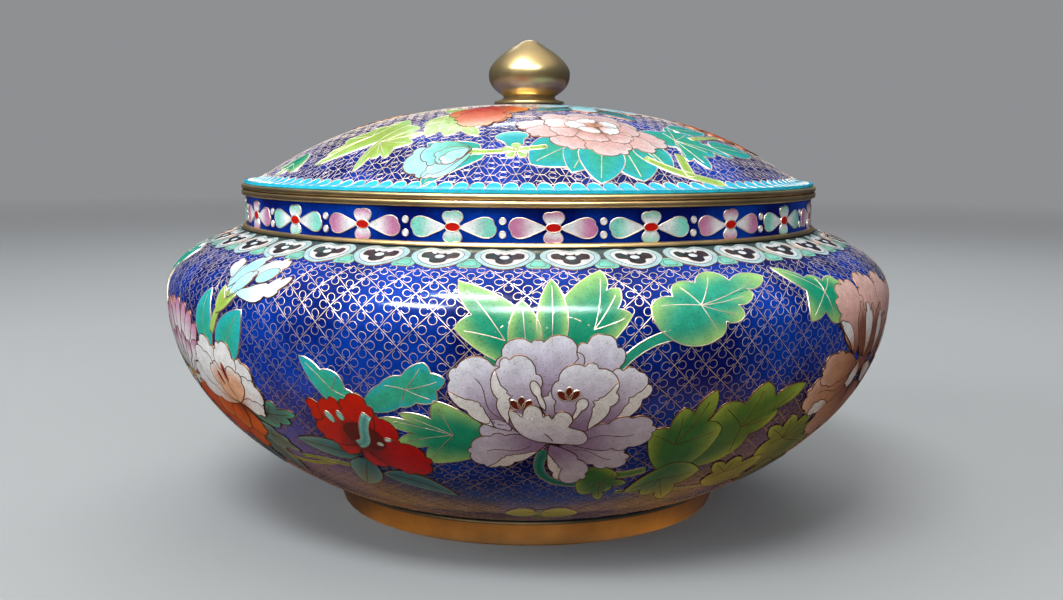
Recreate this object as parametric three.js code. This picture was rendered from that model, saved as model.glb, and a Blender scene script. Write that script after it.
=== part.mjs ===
// A lidded cloisonne bowl: an enamelled copper vessel with brass mounts.
// Millimetres, +Z up, origin at the centre of the foot's underside.
// Every piece is turned about the Z axis from a profile of [radius, height] points.

import * as THREE from "three";

// Driving dimensions of the bowl.
const BELLY_RADIUS = 181.5;
const BELLY_HEIGHT = 110.4;
const FOOT_RADIUS = 100.4;
const FOOT_HEIGHT = 13.2;
const NECK_RADIUS = 143.2;
const NECK_BASE_HEIGHT = 140.6;
const NECK_TOP_HEIGHT = 156.4;
const WALL = 3;
const FOOT_INSET = 1.4;

// The belly's curve: how steeply it leaves the foot and meets the neck,
// and how far each of its four handles pulls.
const FOOT_SLOPE = 0.39;
const FOOT_PULL = 16;
const BELLY_PULL_DOWN = 59;
const BELLY_PULL_UP = 18.5;
const SHOULDER_SLOPE = 0.3;
const SHOULDER_PULL = 15.8;

// Driving dimensions of the lid and its knob.
const LID_RADIUS = 143.6;
const LID_TOP_HEIGHT = 202;
const LID_RIM_PULL = 11.6;
const LID_RIM_DIP = 0.47;
const LID_EDGE = 1;
const LID_CROWN_PULL = 108;
const KNOB_RADIUS = 20.9;
const KNOB_WAIST_RADIUS = 13;
const KNOB_DISC_RADIUS = 18;
const KNOB_HEIGHT = 32.4;

// Driving dimensions of the brass rings.
const RIM_RADIUS = 145.3;
const MOUTH_RIM_HEIGHT = 2.7;
const LID_RIM_HEIGHT = 2.4;
const FILLET_SIZE = 1.7;
const FOOT_TAPER = 3.2;
const FOOT_RING_WIDTH = 8;
const FLANGE_DEPTH = 7;
const FLANGE_WIDTH = 2.2;
const FLANGE_PLAY = 0.8;
const EDGE_CHAMFER = 0.7;

// The gap that pieces resting on each other keep.
const SEAT_GAP = 0.3;

// How finely the round shapes are cut.
const SIDES = 56;
const KNOB_SIDES = 32;

// Heights that follow from the ones above.
const BOWL_BASE = FOOT_HEIGHT + SEAT_GAP;
const MOUTH_RIM_BASE = NECK_TOP_HEIGHT + SEAT_GAP;
const LID_RIM_BASE = MOUTH_RIM_BASE + MOUTH_RIM_HEIGHT + SEAT_GAP;
const LID_BASE = LID_RIM_BASE + LID_RIM_HEIGHT + SEAT_GAP;
const KNOB_BASE = LID_TOP_HEIGHT + SEAT_GAP;

const enamel = new THREE.MeshStandardMaterial({ color: 0x1a3c9c, roughness: 0.18, metalness: 0 });
const brass = new THREE.MeshStandardMaterial({ color: 0xb8863a, roughness: 0.35, metalness: 1 });

function point(radius, height) {
  return new THREE.Vector2(radius, height);
}

// A cubic curve from start to end, with handles given as offsets from its ends.
function handleCurve(start, startHandle, end, endHandle) {
  return new THREE.CubicBezierCurve(start, start.clone().add(startHandle), end.clone().add(endHandle), end);
}

// Points along a curve, moved inwards from the enamel's face by depth.
// The curve runs with the vessel's outside on its right.
function pointsAlong(curve, steps, depth = 0) {
  const points = [];
  for (let i = 0; i <= steps; i += 1) {
    const tangent = curve.getTangent(i / steps);
    const inwards = point(-tangent.y, tangent.x).multiplyScalar(depth);
    points.push(curve.getPoint(i / steps).add(inwards));
  }
  return points;
}

function turned(profile, sides = SIDES) {
  return new THREE.LatheGeometry(profile, sides).rotateX(Math.PI / 2);
}

// A ring of rectangular section with its four edges taken off.
function ringProfile(inner, outer, bottom, top, chamfer) {
  return closed([
    point(inner + chamfer, bottom),
    point(outer - chamfer, bottom),
    point(outer, bottom + chamfer),
    point(outer, top - chamfer),
    point(outer - chamfer, top),
    point(inner + chamfer, top),
    point(inner, top - chamfer),
    point(inner, bottom + chamfer),
  ]);
}

function closed(points) {
  return [...points, points[0].clone()];
}

function namedMesh(name, profile, material, sides) {
  const mesh = new THREE.Mesh(turned(profile, sides), material);
  mesh.name = name;
  return mesh;
}

function lowerBelly() {
  const start = point(FOOT_RADIUS + FOOT_INSET, BOWL_BASE);
  const rise = point(Math.cos(FOOT_SLOPE), Math.sin(FOOT_SLOPE)).multiplyScalar(FOOT_PULL);
  return handleCurve(start, rise, point(BELLY_RADIUS, BELLY_HEIGHT), point(0, -BELLY_PULL_DOWN));
}

function upperBelly() {
  const end = point(NECK_RADIUS, NECK_BASE_HEIGHT);
  const fall = point(Math.cos(SHOULDER_SLOPE), -Math.sin(SHOULDER_SLOPE)).multiplyScalar(SHOULDER_PULL);
  return handleCurve(point(BELLY_RADIUS, BELLY_HEIGHT), point(0, BELLY_PULL_UP), end, fall);
}

// The vessel, hollow from its flat base to the top of its neck.
function bowl() {
  const outside = [
    point(0, BOWL_BASE),
    ...pointsAlong(lowerBelly(), 11),
    ...pointsAlong(upperBelly(), 7).slice(1),
    point(NECK_RADIUS, NECK_TOP_HEIGHT),
  ];
  const floorHeight = BOWL_BASE + WALL;
  const aboveFloor = (p) => p.y > floorHeight + WALL / 2;
  const insideUpper = pointsAlong(upperBelly(), 4, WALL).filter((p) => p.x > NECK_RADIUS - WALL);
  const insideLower = pointsAlong(lowerBelly(), 7, WALL).filter(aboveFloor);
  const inside = [
    point(NECK_RADIUS - WALL, NECK_TOP_HEIGHT),
    point(NECK_RADIUS - WALL, NECK_BASE_HEIGHT - WALL),
    ...insideUpper.reverse(),
    ...insideLower.reverse().slice(1),
    point(FOOT_RADIUS - WALL, floorHeight),
    point(0, floorHeight),
  ];
  return namedMesh("bowl", [...outside, ...inside], enamel);
}

function footRing() {
  const inner = FOOT_RADIUS - FOOT_RING_WIDTH;
  const profile = closed([
    point(inner, 0),
    point(FOOT_RADIUS - FOOT_TAPER - EDGE_CHAMFER, 0),
    point(FOOT_RADIUS - FOOT_TAPER, EDGE_CHAMFER),
    point(FOOT_RADIUS, FOOT_HEIGHT - EDGE_CHAMFER),
    point(FOOT_RADIUS - EDGE_CHAMFER, FOOT_HEIGHT),
    point(inner, FOOT_HEIGHT),
  ]);
  return namedMesh("foot_ring", profile, brass);
}

// The thin ring let in where the shoulder meets the neck.
function neckFillet() {
  const inner = NECK_RADIUS + SEAT_GAP;
  const bottom = NECK_BASE_HEIGHT + SEAT_GAP;
  const outer = inner + FILLET_SIZE;
  const top = bottom + FILLET_SIZE;
  const chamfer = FILLET_SIZE / 3;
  const profile = closed([
    point(inner, bottom),
    point(outer, bottom),
    point(outer, top - chamfer),
    point(outer - chamfer, top),
    point(inner, top),
  ]);
  return namedMesh("neck_fillet", profile, brass);
}

function mouthRim() {
  const inner = NECK_RADIUS - WALL;
  const top = MOUTH_RIM_BASE + MOUTH_RIM_HEIGHT;
  return namedMesh("mouth_rim", ringProfile(inner, RIM_RADIUS, MOUTH_RIM_BASE, top, EDGE_CHAMFER), brass);
}

// The lid's brass edge, with the flange that centres it in the mouth.
function lidRim() {
  const flangeOuter = NECK_RADIUS - WALL - FLANGE_PLAY;
  const flangeInner = flangeOuter - FLANGE_WIDTH;
  const top = LID_RIM_BASE + LID_RIM_HEIGHT;
  const profile = closed([
    point(flangeInner, LID_RIM_BASE - FLANGE_DEPTH),
    point(flangeOuter, LID_RIM_BASE - FLANGE_DEPTH),
    point(flangeOuter, LID_RIM_BASE),
    point(RIM_RADIUS - EDGE_CHAMFER, LID_RIM_BASE),
    point(RIM_RADIUS, LID_RIM_BASE + EDGE_CHAMFER),
    point(RIM_RADIUS, top - EDGE_CHAMFER),
    point(RIM_RADIUS - EDGE_CHAMFER, top),
    point(flangeInner, top),
  ]);
  return namedMesh("lid_rim", profile, brass);
}

// The dome leaves its rim through a soft hollow and is flat at the crown.
function domeCurve() {
  const start = point(LID_RADIUS, LID_BASE + LID_EDGE);
  const dip = point(-Math.cos(LID_RIM_DIP), -Math.sin(LID_RIM_DIP)).multiplyScalar(LID_RIM_PULL);
  return handleCurve(start, dip, point(0, LID_TOP_HEIGHT), point(LID_CROWN_PULL, 0));
}

function lid() {
  const outside = pointsAlong(domeCurve(), 10);
  outside[outside.length - 1].x = 0;
  const inside = pointsAlong(domeCurve(), 8, WALL).filter((p) => p.y > LID_BASE + WALL / 2);
  inside[inside.length - 1].x = 0;
  const seat = [point(LID_RADIUS - WALL, LID_BASE), point(LID_RADIUS, LID_BASE)];
  return namedMesh("lid", [...inside.reverse(), ...seat, ...outside], enamel);
}

// The knob's outline above its disc: a waist, an onion bulb and a blunt tip.
function bulbCurve() {
  const share = (r, h) => point(KNOB_RADIUS * r, KNOB_BASE + KNOB_HEIGHT * h);
  return new THREE.SplineCurve([
    point(KNOB_WAIST_RADIUS, KNOB_BASE + KNOB_HEIGHT * 0.1),
    point(KNOB_WAIST_RADIUS + 0.5, KNOB_BASE + KNOB_HEIGHT * 0.16),
    share(0.84, 0.25),
    share(1, 0.42),
    share(0.92, 0.56),
    share(0.56, 0.78),
    share(0.26, 0.92),
    point(0, KNOB_BASE + KNOB_HEIGHT),
  ]);
}

function knob() {
  const discHeight = KNOB_HEIGHT * 0.035;
  const profile = [
    point(0, KNOB_BASE),
    point(KNOB_DISC_RADIUS, KNOB_BASE),
    point(KNOB_DISC_RADIUS, KNOB_BASE + discHeight),
    point(KNOB_DISC_RADIUS - 2.4, KNOB_BASE + 2 * discHeight),
    ...pointsAlong(bulbCurve(), 14),
  ];
  return namedMesh("knob", profile, brass, KNOB_SIDES);
}

const lidded = new THREE.Group();
lidded.add(lid(), lidRim(), knob());

const vessel = new THREE.Group();
vessel.add(bowl(), footRing(), neckFillet(), mouthRim(), lidded);

export default vessel;
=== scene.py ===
"""A lidded bowl of cloisonne enamel: coloured cells, gilt wires and brass mounts over its turned solids."""

import math
from bisect import bisect

import bmesh
import bpy
from mathutils import Matrix, Vector, geometry, noise


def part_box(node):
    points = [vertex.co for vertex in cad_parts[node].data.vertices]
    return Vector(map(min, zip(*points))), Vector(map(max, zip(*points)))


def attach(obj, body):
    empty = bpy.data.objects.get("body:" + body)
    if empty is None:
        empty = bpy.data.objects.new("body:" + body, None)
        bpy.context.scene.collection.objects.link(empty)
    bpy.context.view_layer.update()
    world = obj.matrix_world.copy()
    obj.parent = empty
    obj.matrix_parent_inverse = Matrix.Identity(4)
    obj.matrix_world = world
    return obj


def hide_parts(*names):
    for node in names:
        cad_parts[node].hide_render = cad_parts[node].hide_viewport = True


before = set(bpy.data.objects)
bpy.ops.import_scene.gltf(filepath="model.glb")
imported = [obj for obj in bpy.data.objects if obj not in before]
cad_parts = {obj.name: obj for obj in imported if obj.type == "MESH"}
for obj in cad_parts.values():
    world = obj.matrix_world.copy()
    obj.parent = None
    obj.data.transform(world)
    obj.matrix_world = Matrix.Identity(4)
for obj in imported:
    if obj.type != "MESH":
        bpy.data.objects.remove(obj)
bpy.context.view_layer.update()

bl_info = {
    "name": "Cloisonne Bowl",
    "version": (1, 0, 0),
    "blender": (4, 5, 0),
    "location": "3D View > Sidebar > Cloisonne",
    "description": "Builds a round lidded bowl of cloisonne enamel with brass mounts",
    "category": "Add Mesh",
}

MM = 0.001
BODY = "root"


def reach(node):
    """A node's radius, in millimetres."""
    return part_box(node)[1].x / MM


def top(node):
    """The height of a node's top, in millimetres."""
    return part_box(node)[1].z / MM


def bottom(node):
    """The height of a node's underside, in millimetres."""
    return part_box(node)[0].z / MM


# Sizes of the turned pieces, in millimetres. The solids of the frame give the outer ones.
BELLY_RADIUS = reach("bowl")
BELLY_HEIGHT = 110.4
BOWL_BASE = bottom("bowl")
NECK_TOP = top("bowl")
NECK_RADIUS = 143.2
NECK_BASE = 140.6
FOOT_RADIUS = reach("foot_ring")
FOOT_HEIGHT = top("foot_ring")
FOOT_INSET = 1.4
WALL = 3.0
LID_RADIUS = reach("lid")
LID_BASE = bottom("lid")
LID_TOP = top("lid")
LID_EDGE = 1.0
SEAT_GAP = 0.3
RIM_RADIUS = reach("mouth_rim")
KNOB_RADIUS = reach("knob")
KNOB_BASE = bottom("knob")
KNOB_HEIGHT = top("knob") - KNOB_BASE

# The handles of the curves that the bowl and the lid are turned from.
FOOT_SLOPE = 0.39
FOOT_PULL = 16
BELLY_PULL_DOWN = 59
BELLY_PULL_UP = 18.5
SHOULDER_SLOPE = 0.3
SHOULDER_PULL = 15.8
LID_RIM_PULL = 11.6
LID_RIM_DIP = 0.47
LID_CROWN_PULL = 108

# How finely things are cut, where shading turns sharp, and how near two points have to be to be joined.
TURNS = 192
KNOB_TURNS = 96
EDGE_STEPS = 4
CURVE_STEPS = 40
FINE_STEPS = 400
CELL_STEP = 3.2
CREASE = math.radians(35)
JOIN = 0.001 * MM

# The enamel's layers above the copper's face, in millimetres. A wire's flat top and a vein are shares of
# the width of a wire.
LATTICE_LIFT = 0.075
FIGURE_LIFT = 0.3
LAYER = 0.06
WIRE_RISE = 0.045
WIRE_FOOT = 0.02
WIRE_TOP = 0.8
VEIN_WIDTH = 0.8
SUNK = -0.15
CELL_MARGIN = 0.35

# How far from its tip towards its base a petal's outline has lobes, as a share of the way.
FREE_EDGE = 0.74

# The colour that the verts of the cells and the wires carry.
TINT = "tint"

# Tints that leaves share, from heart to edge.
FRESH = ("emerald", "lime")
SPRING = ("moss", "lime")
BLUE = ("sea", "turquoise")
DARK = ("olive", "moss")
SLATY = ("teal", "slate")

# The hearts of the leaves whose gilt wires are coloured dark bronze, as painted shade.
SHADE_WIRED_HEARTS = ("olive", "teal")

# The outlines of the figures drawn so far, by material slot, which the ground's lattice stays clear of.
COVERED = {}


def colour_property(name, description, default):
    """A colour that a user can change, as linear red, green and blue."""
    return bpy.props.FloatVectorProperty(
        name=name, description=description, subtype="COLOR", size=3, min=0, max=1, default=default
    )


def size_property(name, description, default):
    """A length that a user can change, in metres."""
    return bpy.props.FloatProperty(
        name=name, description=description, subtype="DISTANCE", unit="LENGTH", min=0, default=default
    )


def count_property(name, description, least, default):
    """A number of repeats that a user can change."""
    return bpy.props.IntProperty(name=name, description=description, min=least, default=default)


class BowlSizes(bpy.types.PropertyGroup):
    """Sizes of the ornament."""

    wire: size_property("Wire", "Width of the gilt wire round each cell", 0.00046)
    fine_wire: size_property("Fine wire", "Width of the wire in the ground's lattice", 0.0003)
    bowl_cells: count_property("Lattice cells", "Diamond cells round the bowl's widest ring", 12, 80)
    bowl_cell_height: size_property("Cell height", "Height of a diamond cell on the bowl", 0.0145)
    border_heads: count_property("Border heads", "Cloud heads in the border on the shoulder", 6, 37)
    neck_flowers: count_property("Neck flowers", "Flowers round the neck, of two colours by turns", 4, 22)
    lid_scallops: count_property("Lid scallops", "Cyan scallops round the lid's edge", 12, 126)


class EnamelColours(bpy.types.PropertyGroup):
    """Colours of the fired enamels and the metals."""

    cobalt: colour_property("Cobalt", "Brighter clouds of the blue ground", (0.002, 0.052, 0.44))
    navy: colour_property("Navy", "Deeper clouds of the blue ground", (0.001, 0.007, 0.13))
    milk: colour_property("Milk", "White of turned petal edges", (0.84, 0.83, 0.81))
    lilac: colour_property("Lilac", "Body of the large pale peony's petals", (0.66, 0.63, 0.76))
    lavender: colour_property("Lavender", "Paler edges of the large peony's petals", (0.88, 0.9, 0.95))
    mauve: colour_property("Mauve", "Heart of the large pale peony's petals", (0.3, 0.19, 0.34))
    emerald: colour_property("Emerald", "Green at the heart of the leaves", (0.012, 0.32, 0.17))
    lime: colour_property("Lime", "Yellow green at the tips of the leaves", (0.42, 0.7, 0.2))
    turquoise: colour_property("Turquoise", "Blue green leaves", (0.02, 0.45, 0.5))
    sea: colour_property("Sea green", "Heart of the blue green leaves", (0.03, 0.4, 0.25))
    mint: colour_property("Mint", "Pale green of buds, scrolls and stamens", (0.22, 0.66, 0.52))
    cyan: colour_property("Cyan", "Scallops on the lid's edge", (0.03, 0.55, 0.78))
    ice: colour_property("Ice", "Palest blue", (0.42, 0.76, 0.84))
    red: colour_property("Red", "Petals of the red flower", (0.56, 0.008, 0.004))
    maroon: colour_property("Maroon", "Hearts and stamens", (0.13, 0.012, 0.006))
    orange: colour_property("Orange", "Petals of the orange flowers", (0.7, 0.09, 0.008))
    amber: colour_property("Amber", "Tips of the orange petals", (0.78, 0.26, 0.06))
    peach: colour_property("Peach", "Hearts of the white peonies", (0.8, 0.42, 0.24))
    rosy: colour_property("Rosy white", "Edges of the lid's pink peony", (0.76, 0.62, 0.6))
    blush: colour_property("Blush", "Body of the pink peonies", (0.76, 0.44, 0.38))
    salmon: colour_property("Salmon", "Paler edges of the pink peonies' petals", (0.8, 0.52, 0.42))
    tawny: colour_property("Tawny", "Body of the brown peony petals", (0.6, 0.3, 0.16))
    umber: colour_property("Umber", "Hearts of the pink peonies", (0.26, 0.09, 0.05))
    rose: colour_property("Rose", "Pink tips on the neck and the daisies", (0.58, 0.2, 0.36))
    olive: colour_property("Olive", "Heart of the darker leaves", (0.05, 0.19, 0.03))
    moss: colour_property("Moss", "Tips of the darker leaves", (0.36, 0.5, 0.07))
    teal: colour_property("Teal", "Heart of the grey blue leaves", (0.03, 0.14, 0.14))
    slate: colour_property("Slate", "Tips of the grey blue leaves", (0.1, 0.3, 0.3))
    cloud: colour_property("Cloud", "Outer band of the border's heads", (0.46, 0.66, 0.67))
    pearl: colour_property("Pearl", "Light band of the border's heads", (0.72, 0.78, 0.77))
    shade: colour_property("Shade", "Ground between the border's heads", (0.06, 0.1, 0.1))
    ink: colour_property("Ink", "Dark heart of the border's heads", (0.025, 0.025, 0.03))
    gilt: colour_property("Gilt", "Wires that show bright", (0.82, 0.66, 0.52))
    bronze: colour_property("Bronze", "Darker wires round the petals", (0.2, 0.09, 0.045))
    brass: colour_property("Brass", "Rims and foot", (0.76, 0.5, 0.22))
    knob_brass: colour_property("Knob brass", "The toned brass of the knob", (0.66, 0.46, 0.22))


def ornament():
    """The sizes that are set for the ornament."""
    return bpy.context.scene.bowl_sizes


def colours():
    """The colours that are set for the enamels and the metals."""
    return bpy.context.scene.enamel_colours


def paint(*names):
    """The named enamel colours, as vectors."""
    return [Vector(getattr(colours(), name)) for name in names]


def grey(tone):
    """A grey as linear red, green and blue."""
    return (tone, tone, tone)


WHITE = grey(1.0)
BLACK = grey(0.0)


def smooth(share):
    """Eases a share from 0 to 1."""
    share = min(max(share, 0.0), 1.0)
    return share * share * (3 - 2 * share)


def curve_points(start, start_handle, end, end_handle, count):
    """Points of a cubic curve whose handles are given as offsets from its ends."""
    start = Vector(start)
    end = Vector(end)
    near = start + Vector(start_handle)
    far = end + Vector(end_handle)
    return [Vector(p) for p in geometry.interpolate_bezier(start, near, far, end, count)]


def lower_belly(count):
    start = (FOOT_RADIUS + FOOT_INSET, BOWL_BASE)
    rise = (FOOT_PULL * math.cos(FOOT_SLOPE), FOOT_PULL * math.sin(FOOT_SLOPE))
    return curve_points(start, rise, (BELLY_RADIUS, BELLY_HEIGHT), (0, -BELLY_PULL_DOWN), count)


def upper_belly(count):
    fall = (SHOULDER_PULL * math.cos(SHOULDER_SLOPE), -SHOULDER_PULL * math.sin(SHOULDER_SLOPE))
    widest = (BELLY_RADIUS, BELLY_HEIGHT)
    return curve_points(widest, (0, BELLY_PULL_UP), (NECK_RADIUS, NECK_BASE), fall, count)


def dome(count):
    start = (LID_RADIUS, LID_BASE + LID_EDGE)
    dip = (-LID_RIM_PULL * math.cos(LID_RIM_DIP), -LID_RIM_PULL * math.sin(LID_RIM_DIP))
    return curve_points(start, dip, (0, LID_TOP), (LID_CROWN_PULL, 0), count)


def unmoved(spot):
    return spot


def left_of(ahead):
    """The direction to the left of a line that runs ahead."""
    return Vector((-ahead.y, ahead.x))


def heading(line, index, closed=False):
    """The way that a line runs at one of its points."""
    if closed:
        return line[(index + 1) % len(line)] - line[(index - 1) % len(line)]
    return line[min(index + 1, len(line) - 1)] - line[max(index - 1, 0)]


def centroid(points):
    return sum(points, Vector((0, 0))) / len(points)


def runs_clockwise(loop):
    return sum(here.cross(after) for here, after in zip(loop, loop[1:] + loop[:1])) < 0


class Outline:
    """A line of [radius, height] points with the vessel's outside on its right."""

    def __init__(self, points):
        self.points = points
        self.outward = [-left_of(heading(points, index)).normalized() for index in range(len(points))]

    def moved(self, distance):
        """The same line, moved outwards."""
        return [spot + out * distance for spot, out in zip(self.points, self.outward)]


class BowlFace:
    """The bowl's outside, for flat drawings: x round its widest ring, y up its face from there, in mm."""

    def __init__(self):
        below = lower_belly(FINE_STEPS)
        neck = [Vector((NECK_RADIUS, NECK_TOP))]
        outline = Outline(below + upper_belly(FINE_STEPS)[1:] + neck)
        self.points = outline.points
        self.outward = outline.outward
        self.along = [0.0]
        for here, after in zip(self.points, self.points[1:]):
            self.along.append(self.along[-1] + (after - here).length)
        widest = self.along[len(below) - 1]
        self.along = [place - widest for place in self.along]
        self.shoulder = self.along[-2]

    def step_at(self, y):
        """The step of the outline that a place lies in, and its share of that step."""
        after = min(max(bisect(self.along, y), 1), len(self.points) - 1)
        before = after - 1
        return before, after, (y - self.along[before]) / (self.along[after] - self.along[before])

    def radius(self, y):
        """The bowl's radius at a place up its face."""
        before, after, share = self.step_at(y)
        return self.points[before].lerp(self.points[after], share).x

    def __call__(self, x, y, lift):
        before, after, share = self.step_at(y)
        spot = self.points[before].lerp(self.points[after], share)
        out = self.outward[before].lerp(self.outward[after], share)
        if y > self.shoulder:
            out = Vector((1, 0))
        angle = x / BELLY_RADIUS
        radius = spot.x + lift * out.x
        return Vector((radius * math.sin(angle), -radius * math.cos(angle), spot.y + lift * out.y)) * MM


class LidFace:
    """The lid's top, for drawings seen from above: x to the right and y away from the front, in mm."""

    def __init__(self):
        outline = Outline(dome(FINE_STEPS))
        self.points = outline.points[::-1]
        self.outward = outline.outward[::-1]
        self.radii = [spot.x for spot in self.points]

    def __call__(self, x, y, lift):
        radius = math.hypot(x, y)
        after = min(max(bisect(self.radii, radius), 1), len(self.points) - 1)
        before = after - 1
        share = (radius - self.radii[before]) / (self.radii[after] - self.radii[before])
        height = self.points[before].lerp(self.points[after], share).y
        out = self.outward[before].lerp(self.outward[after], share)
        spread = 1 + lift * out.x / max(radius, 1.0)
        return Vector((x * spread, y * spread, height + lift * out.y)) * MM


def in_scene(name, bm, material):
    """Makes a named object of a bmesh, with one material."""
    mesh = bpy.data.meshes.new(name)
    bm.to_mesh(mesh)
    bm.free()
    mesh.materials.append(material)
    piece = bpy.data.objects.new(name, mesh)
    bpy.context.scene.collection.objects.link(piece)
    return piece


def finished(name, bm, material, slot, replaced=()):
    """Makes a named piece of a bmesh with its finish, hangs it on the body and hides the parts that it
    replaces.
    """
    piece = in_scene(name, bm, material)
    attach(piece, BODY)
    if replaced:
        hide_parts(*replaced)


def shade_smooth(bm):
    """Smooth shading, but sharp where two faces meet at more than the crease angle."""
    for face in bm.faces:
        face.smooth = True
    for edge in bm.edges:
        edge.smooth = edge.calc_face_angle(0) < CREASE


def turned(profile, turns, closed):
    """Turns a line of [radius, height] points about the Z axis."""
    bm = bmesh.new()
    verts = [bm.verts.new((spot[0] * MM, 0, spot[1] * MM)) for spot in profile]
    pairs = list(zip(verts, verts[1:]))
    if closed:
        pairs.append((verts[-1], verts[0]))
    edges = [bm.edges.new(pair) for pair in pairs]
    turn = {"cent": (0, 0, 0), "axis": (0, 0, 1), "angle": 2 * math.pi, "steps": turns}
    bmesh.ops.spin(bm, geom=verts + edges, use_merge=True, **turn)
    bmesh.ops.remove_doubles(bm, verts=bm.verts, dist=JOIN)
    bmesh.ops.recalc_face_normals(bm, faces=bm.faces)
    shade_smooth(bm)
    return bm


def arc(centre, radius, start, end, steps):
    """Points on an arc of a profile, from one angle to another, in degrees."""
    points = []
    for step in range(steps + 1):
        angle = math.radians(start + (end - start) * step / steps)
        points.append(Vector(centre) + radius * Vector((math.cos(angle), math.sin(angle))))
    return points


def soft_ring(inner, outer, low, high, soft):
    """The section of a ring with rounded edges, going round with its outside on the right."""
    points = []
    for turn, across, height in (
        (-90, outer - soft, low + soft),
        (0, outer - soft, high - soft),
        (90, inner + soft, high - soft),
        (180, inner + soft, low + soft),
    ):
        points += arc((across, height), soft, turn, turn + 90, EDGE_STEPS)
    return points


class Shader:
    """A short way to write a material's nodes."""

    def __init__(self, name, **values):
        self.material = bpy.data.materials.new(name)
        self.material.use_nodes = True
        self.nodes = self.material.node_tree.nodes
        self.links = self.material.node_tree.links
        self.surface = self.nodes["Principled BSDF"]
        for socket, value in values.items():
            self.surface.inputs[socket.replace("_", " ")].default_value = value
        self.object = self.nodes.new("ShaderNodeTexCoord").outputs["Object"]

    def link(self, output, target):
        self.links.new(output, target)

    def node(self, kind, **values):
        """A new node, with values for some of its inputs."""
        node = self.nodes.new("ShaderNode" + kind)
        for socket, value in values.items():
            node.inputs[socket.replace("_", " ")].default_value = value
        return node

    def noise(self, scale, detail=2.0, stretch=(1, 1, 1)):
        """Cloudy values from 0 to 1, with about scale clouds to the metre."""
        mapping = self.node("Mapping", Scale=stretch)
        self.link(self.object, mapping.inputs["Vector"])
        texture = self.node("TexNoise", Scale=scale, Detail=detail)
        self.link(mapping.outputs["Vector"], texture.inputs["Vector"])
        return texture.outputs["Fac"]

    def bands(self, value, low, high, dark, light):
        """Turns a value into a grey or a colour that goes from dark at low to light at high."""
        ramp = self.node("ValToRGB")
        for element, position, tone in zip(ramp.color_ramp.elements, (low, high), (dark, light)):
            element.position = position
            element.color = (*tone, 1)
        self.link(value, ramp.inputs["Fac"])
        return ramp.outputs["Color"]

    def remapped(self, value, **bounds):
        """Moves a value into new bounds. Bounds that aren't given are 0 and 1."""
        spread = self.node("MapRange", **bounds)
        self.link(value, spread.inputs["Value"])
        return spread.outputs["Result"]

    def product(self, first, second):
        """Multiplies two colours."""
        node = self.node("Mix")
        node.data_type = "RGBA"
        node.blend_type = "MULTIPLY"
        node.inputs["Factor"].default_value = 1.0
        self.link(first, node.inputs["A"])
        self.link(second, node.inputs["B"])
        return node.outputs["Result"]

    def tint(self):
        """The colour that each cell or wire carries."""
        attribute = self.node("Attribute")
        attribute.attribute_name = TINT
        return attribute.outputs["Color"]

    def colour(self, output):
        self.link(output, self.surface.inputs["Base Color"])

    def roughness(self, value, low, high):
        """Lets the roughness follow a value between two bounds."""
        self.link(self.remapped(value, To_Min=low, To_Max=high), self.surface.inputs["Roughness"])

    def bump(self, height, distance, strength):
        """Raises the surface by up to a distance in metres where the value is high."""
        node = self.node("Bump", Distance=distance, Strength=strength)
        self.link(height, node.inputs["Height"])
        self.link(node.outputs["Normal"], self.surface.inputs["Normal"])


def ground_enamel(name):
    """Blue enamel with brighter and deeper clouds and a fine grain, polished but not quite flat."""
    shader = Shader(name, Specular_IOR_Level=0.2)
    clouds = shader.bands(shader.noise(26, 4), 0.38, 0.64, colours().navy, colours().cobalt)
    grain = shader.bands(shader.noise(700, 3), 0.3, 0.72, grey(0.62), WHITE)
    shader.colour(shader.product(clouds, grain))
    shader.roughness(shader.noise(180), 0.07, 0.18)
    shader.bump(shader.noise(90, 1), distance=0.0003, strength=0.16)
    return shader.material


def cell_enamel(name):
    """Enamel of the figures: each cell's own tint with clouds, specks and a polished face."""
    shader = Shader(name, Specular_IOR_Level=0.22)
    clouds = shader.bands(shader.noise(240, 4), 0.3, 0.7, grey(0.78), WHITE)
    grains = shader.bands(shader.noise(1500, 2), 0.3, 0.46, grey(0.66), WHITE)
    shader.colour(shader.product(shader.product(shader.tint(), clouds), grains))
    shader.roughness(shader.noise(300), 0.14, 0.3)
    shader.bump(shader.noise(420, 2), distance=0.0002, strength=0.3)
    return shader.material


def wire_metal(name):
    """Copper wire, gilt or brown as its tint says, ground flush and with uneven wear. The brown on the
    darker leaves is painted shade.
    """
    shader = Shader(name, Metallic=0.96)
    wear = shader.bands(shader.noise(140, 3), 0.35, 0.65, grey(0.6), WHITE)
    shader.colour(shader.product(shader.tint(), wear))
    shader.roughness(shader.noise(500), 0.42, 0.62)
    return shader.material


def satin_brass(name):
    """Spun brass with fine turning marks and a little tarnish."""
    shader = Shader(name, Metallic=1.0)
    dull = [tone * 0.62 for tone in colours().brass]
    shader.colour(shader.bands(shader.noise(35, 4), 0.35, 0.7, dull, colours().brass))
    shader.roughness(shader.noise(260, 3), 0.3, 0.46)
    shader.bump(shader.noise(60, 3, (1, 1, 40)), distance=0.0002, strength=0.2)
    return shader.material


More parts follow.
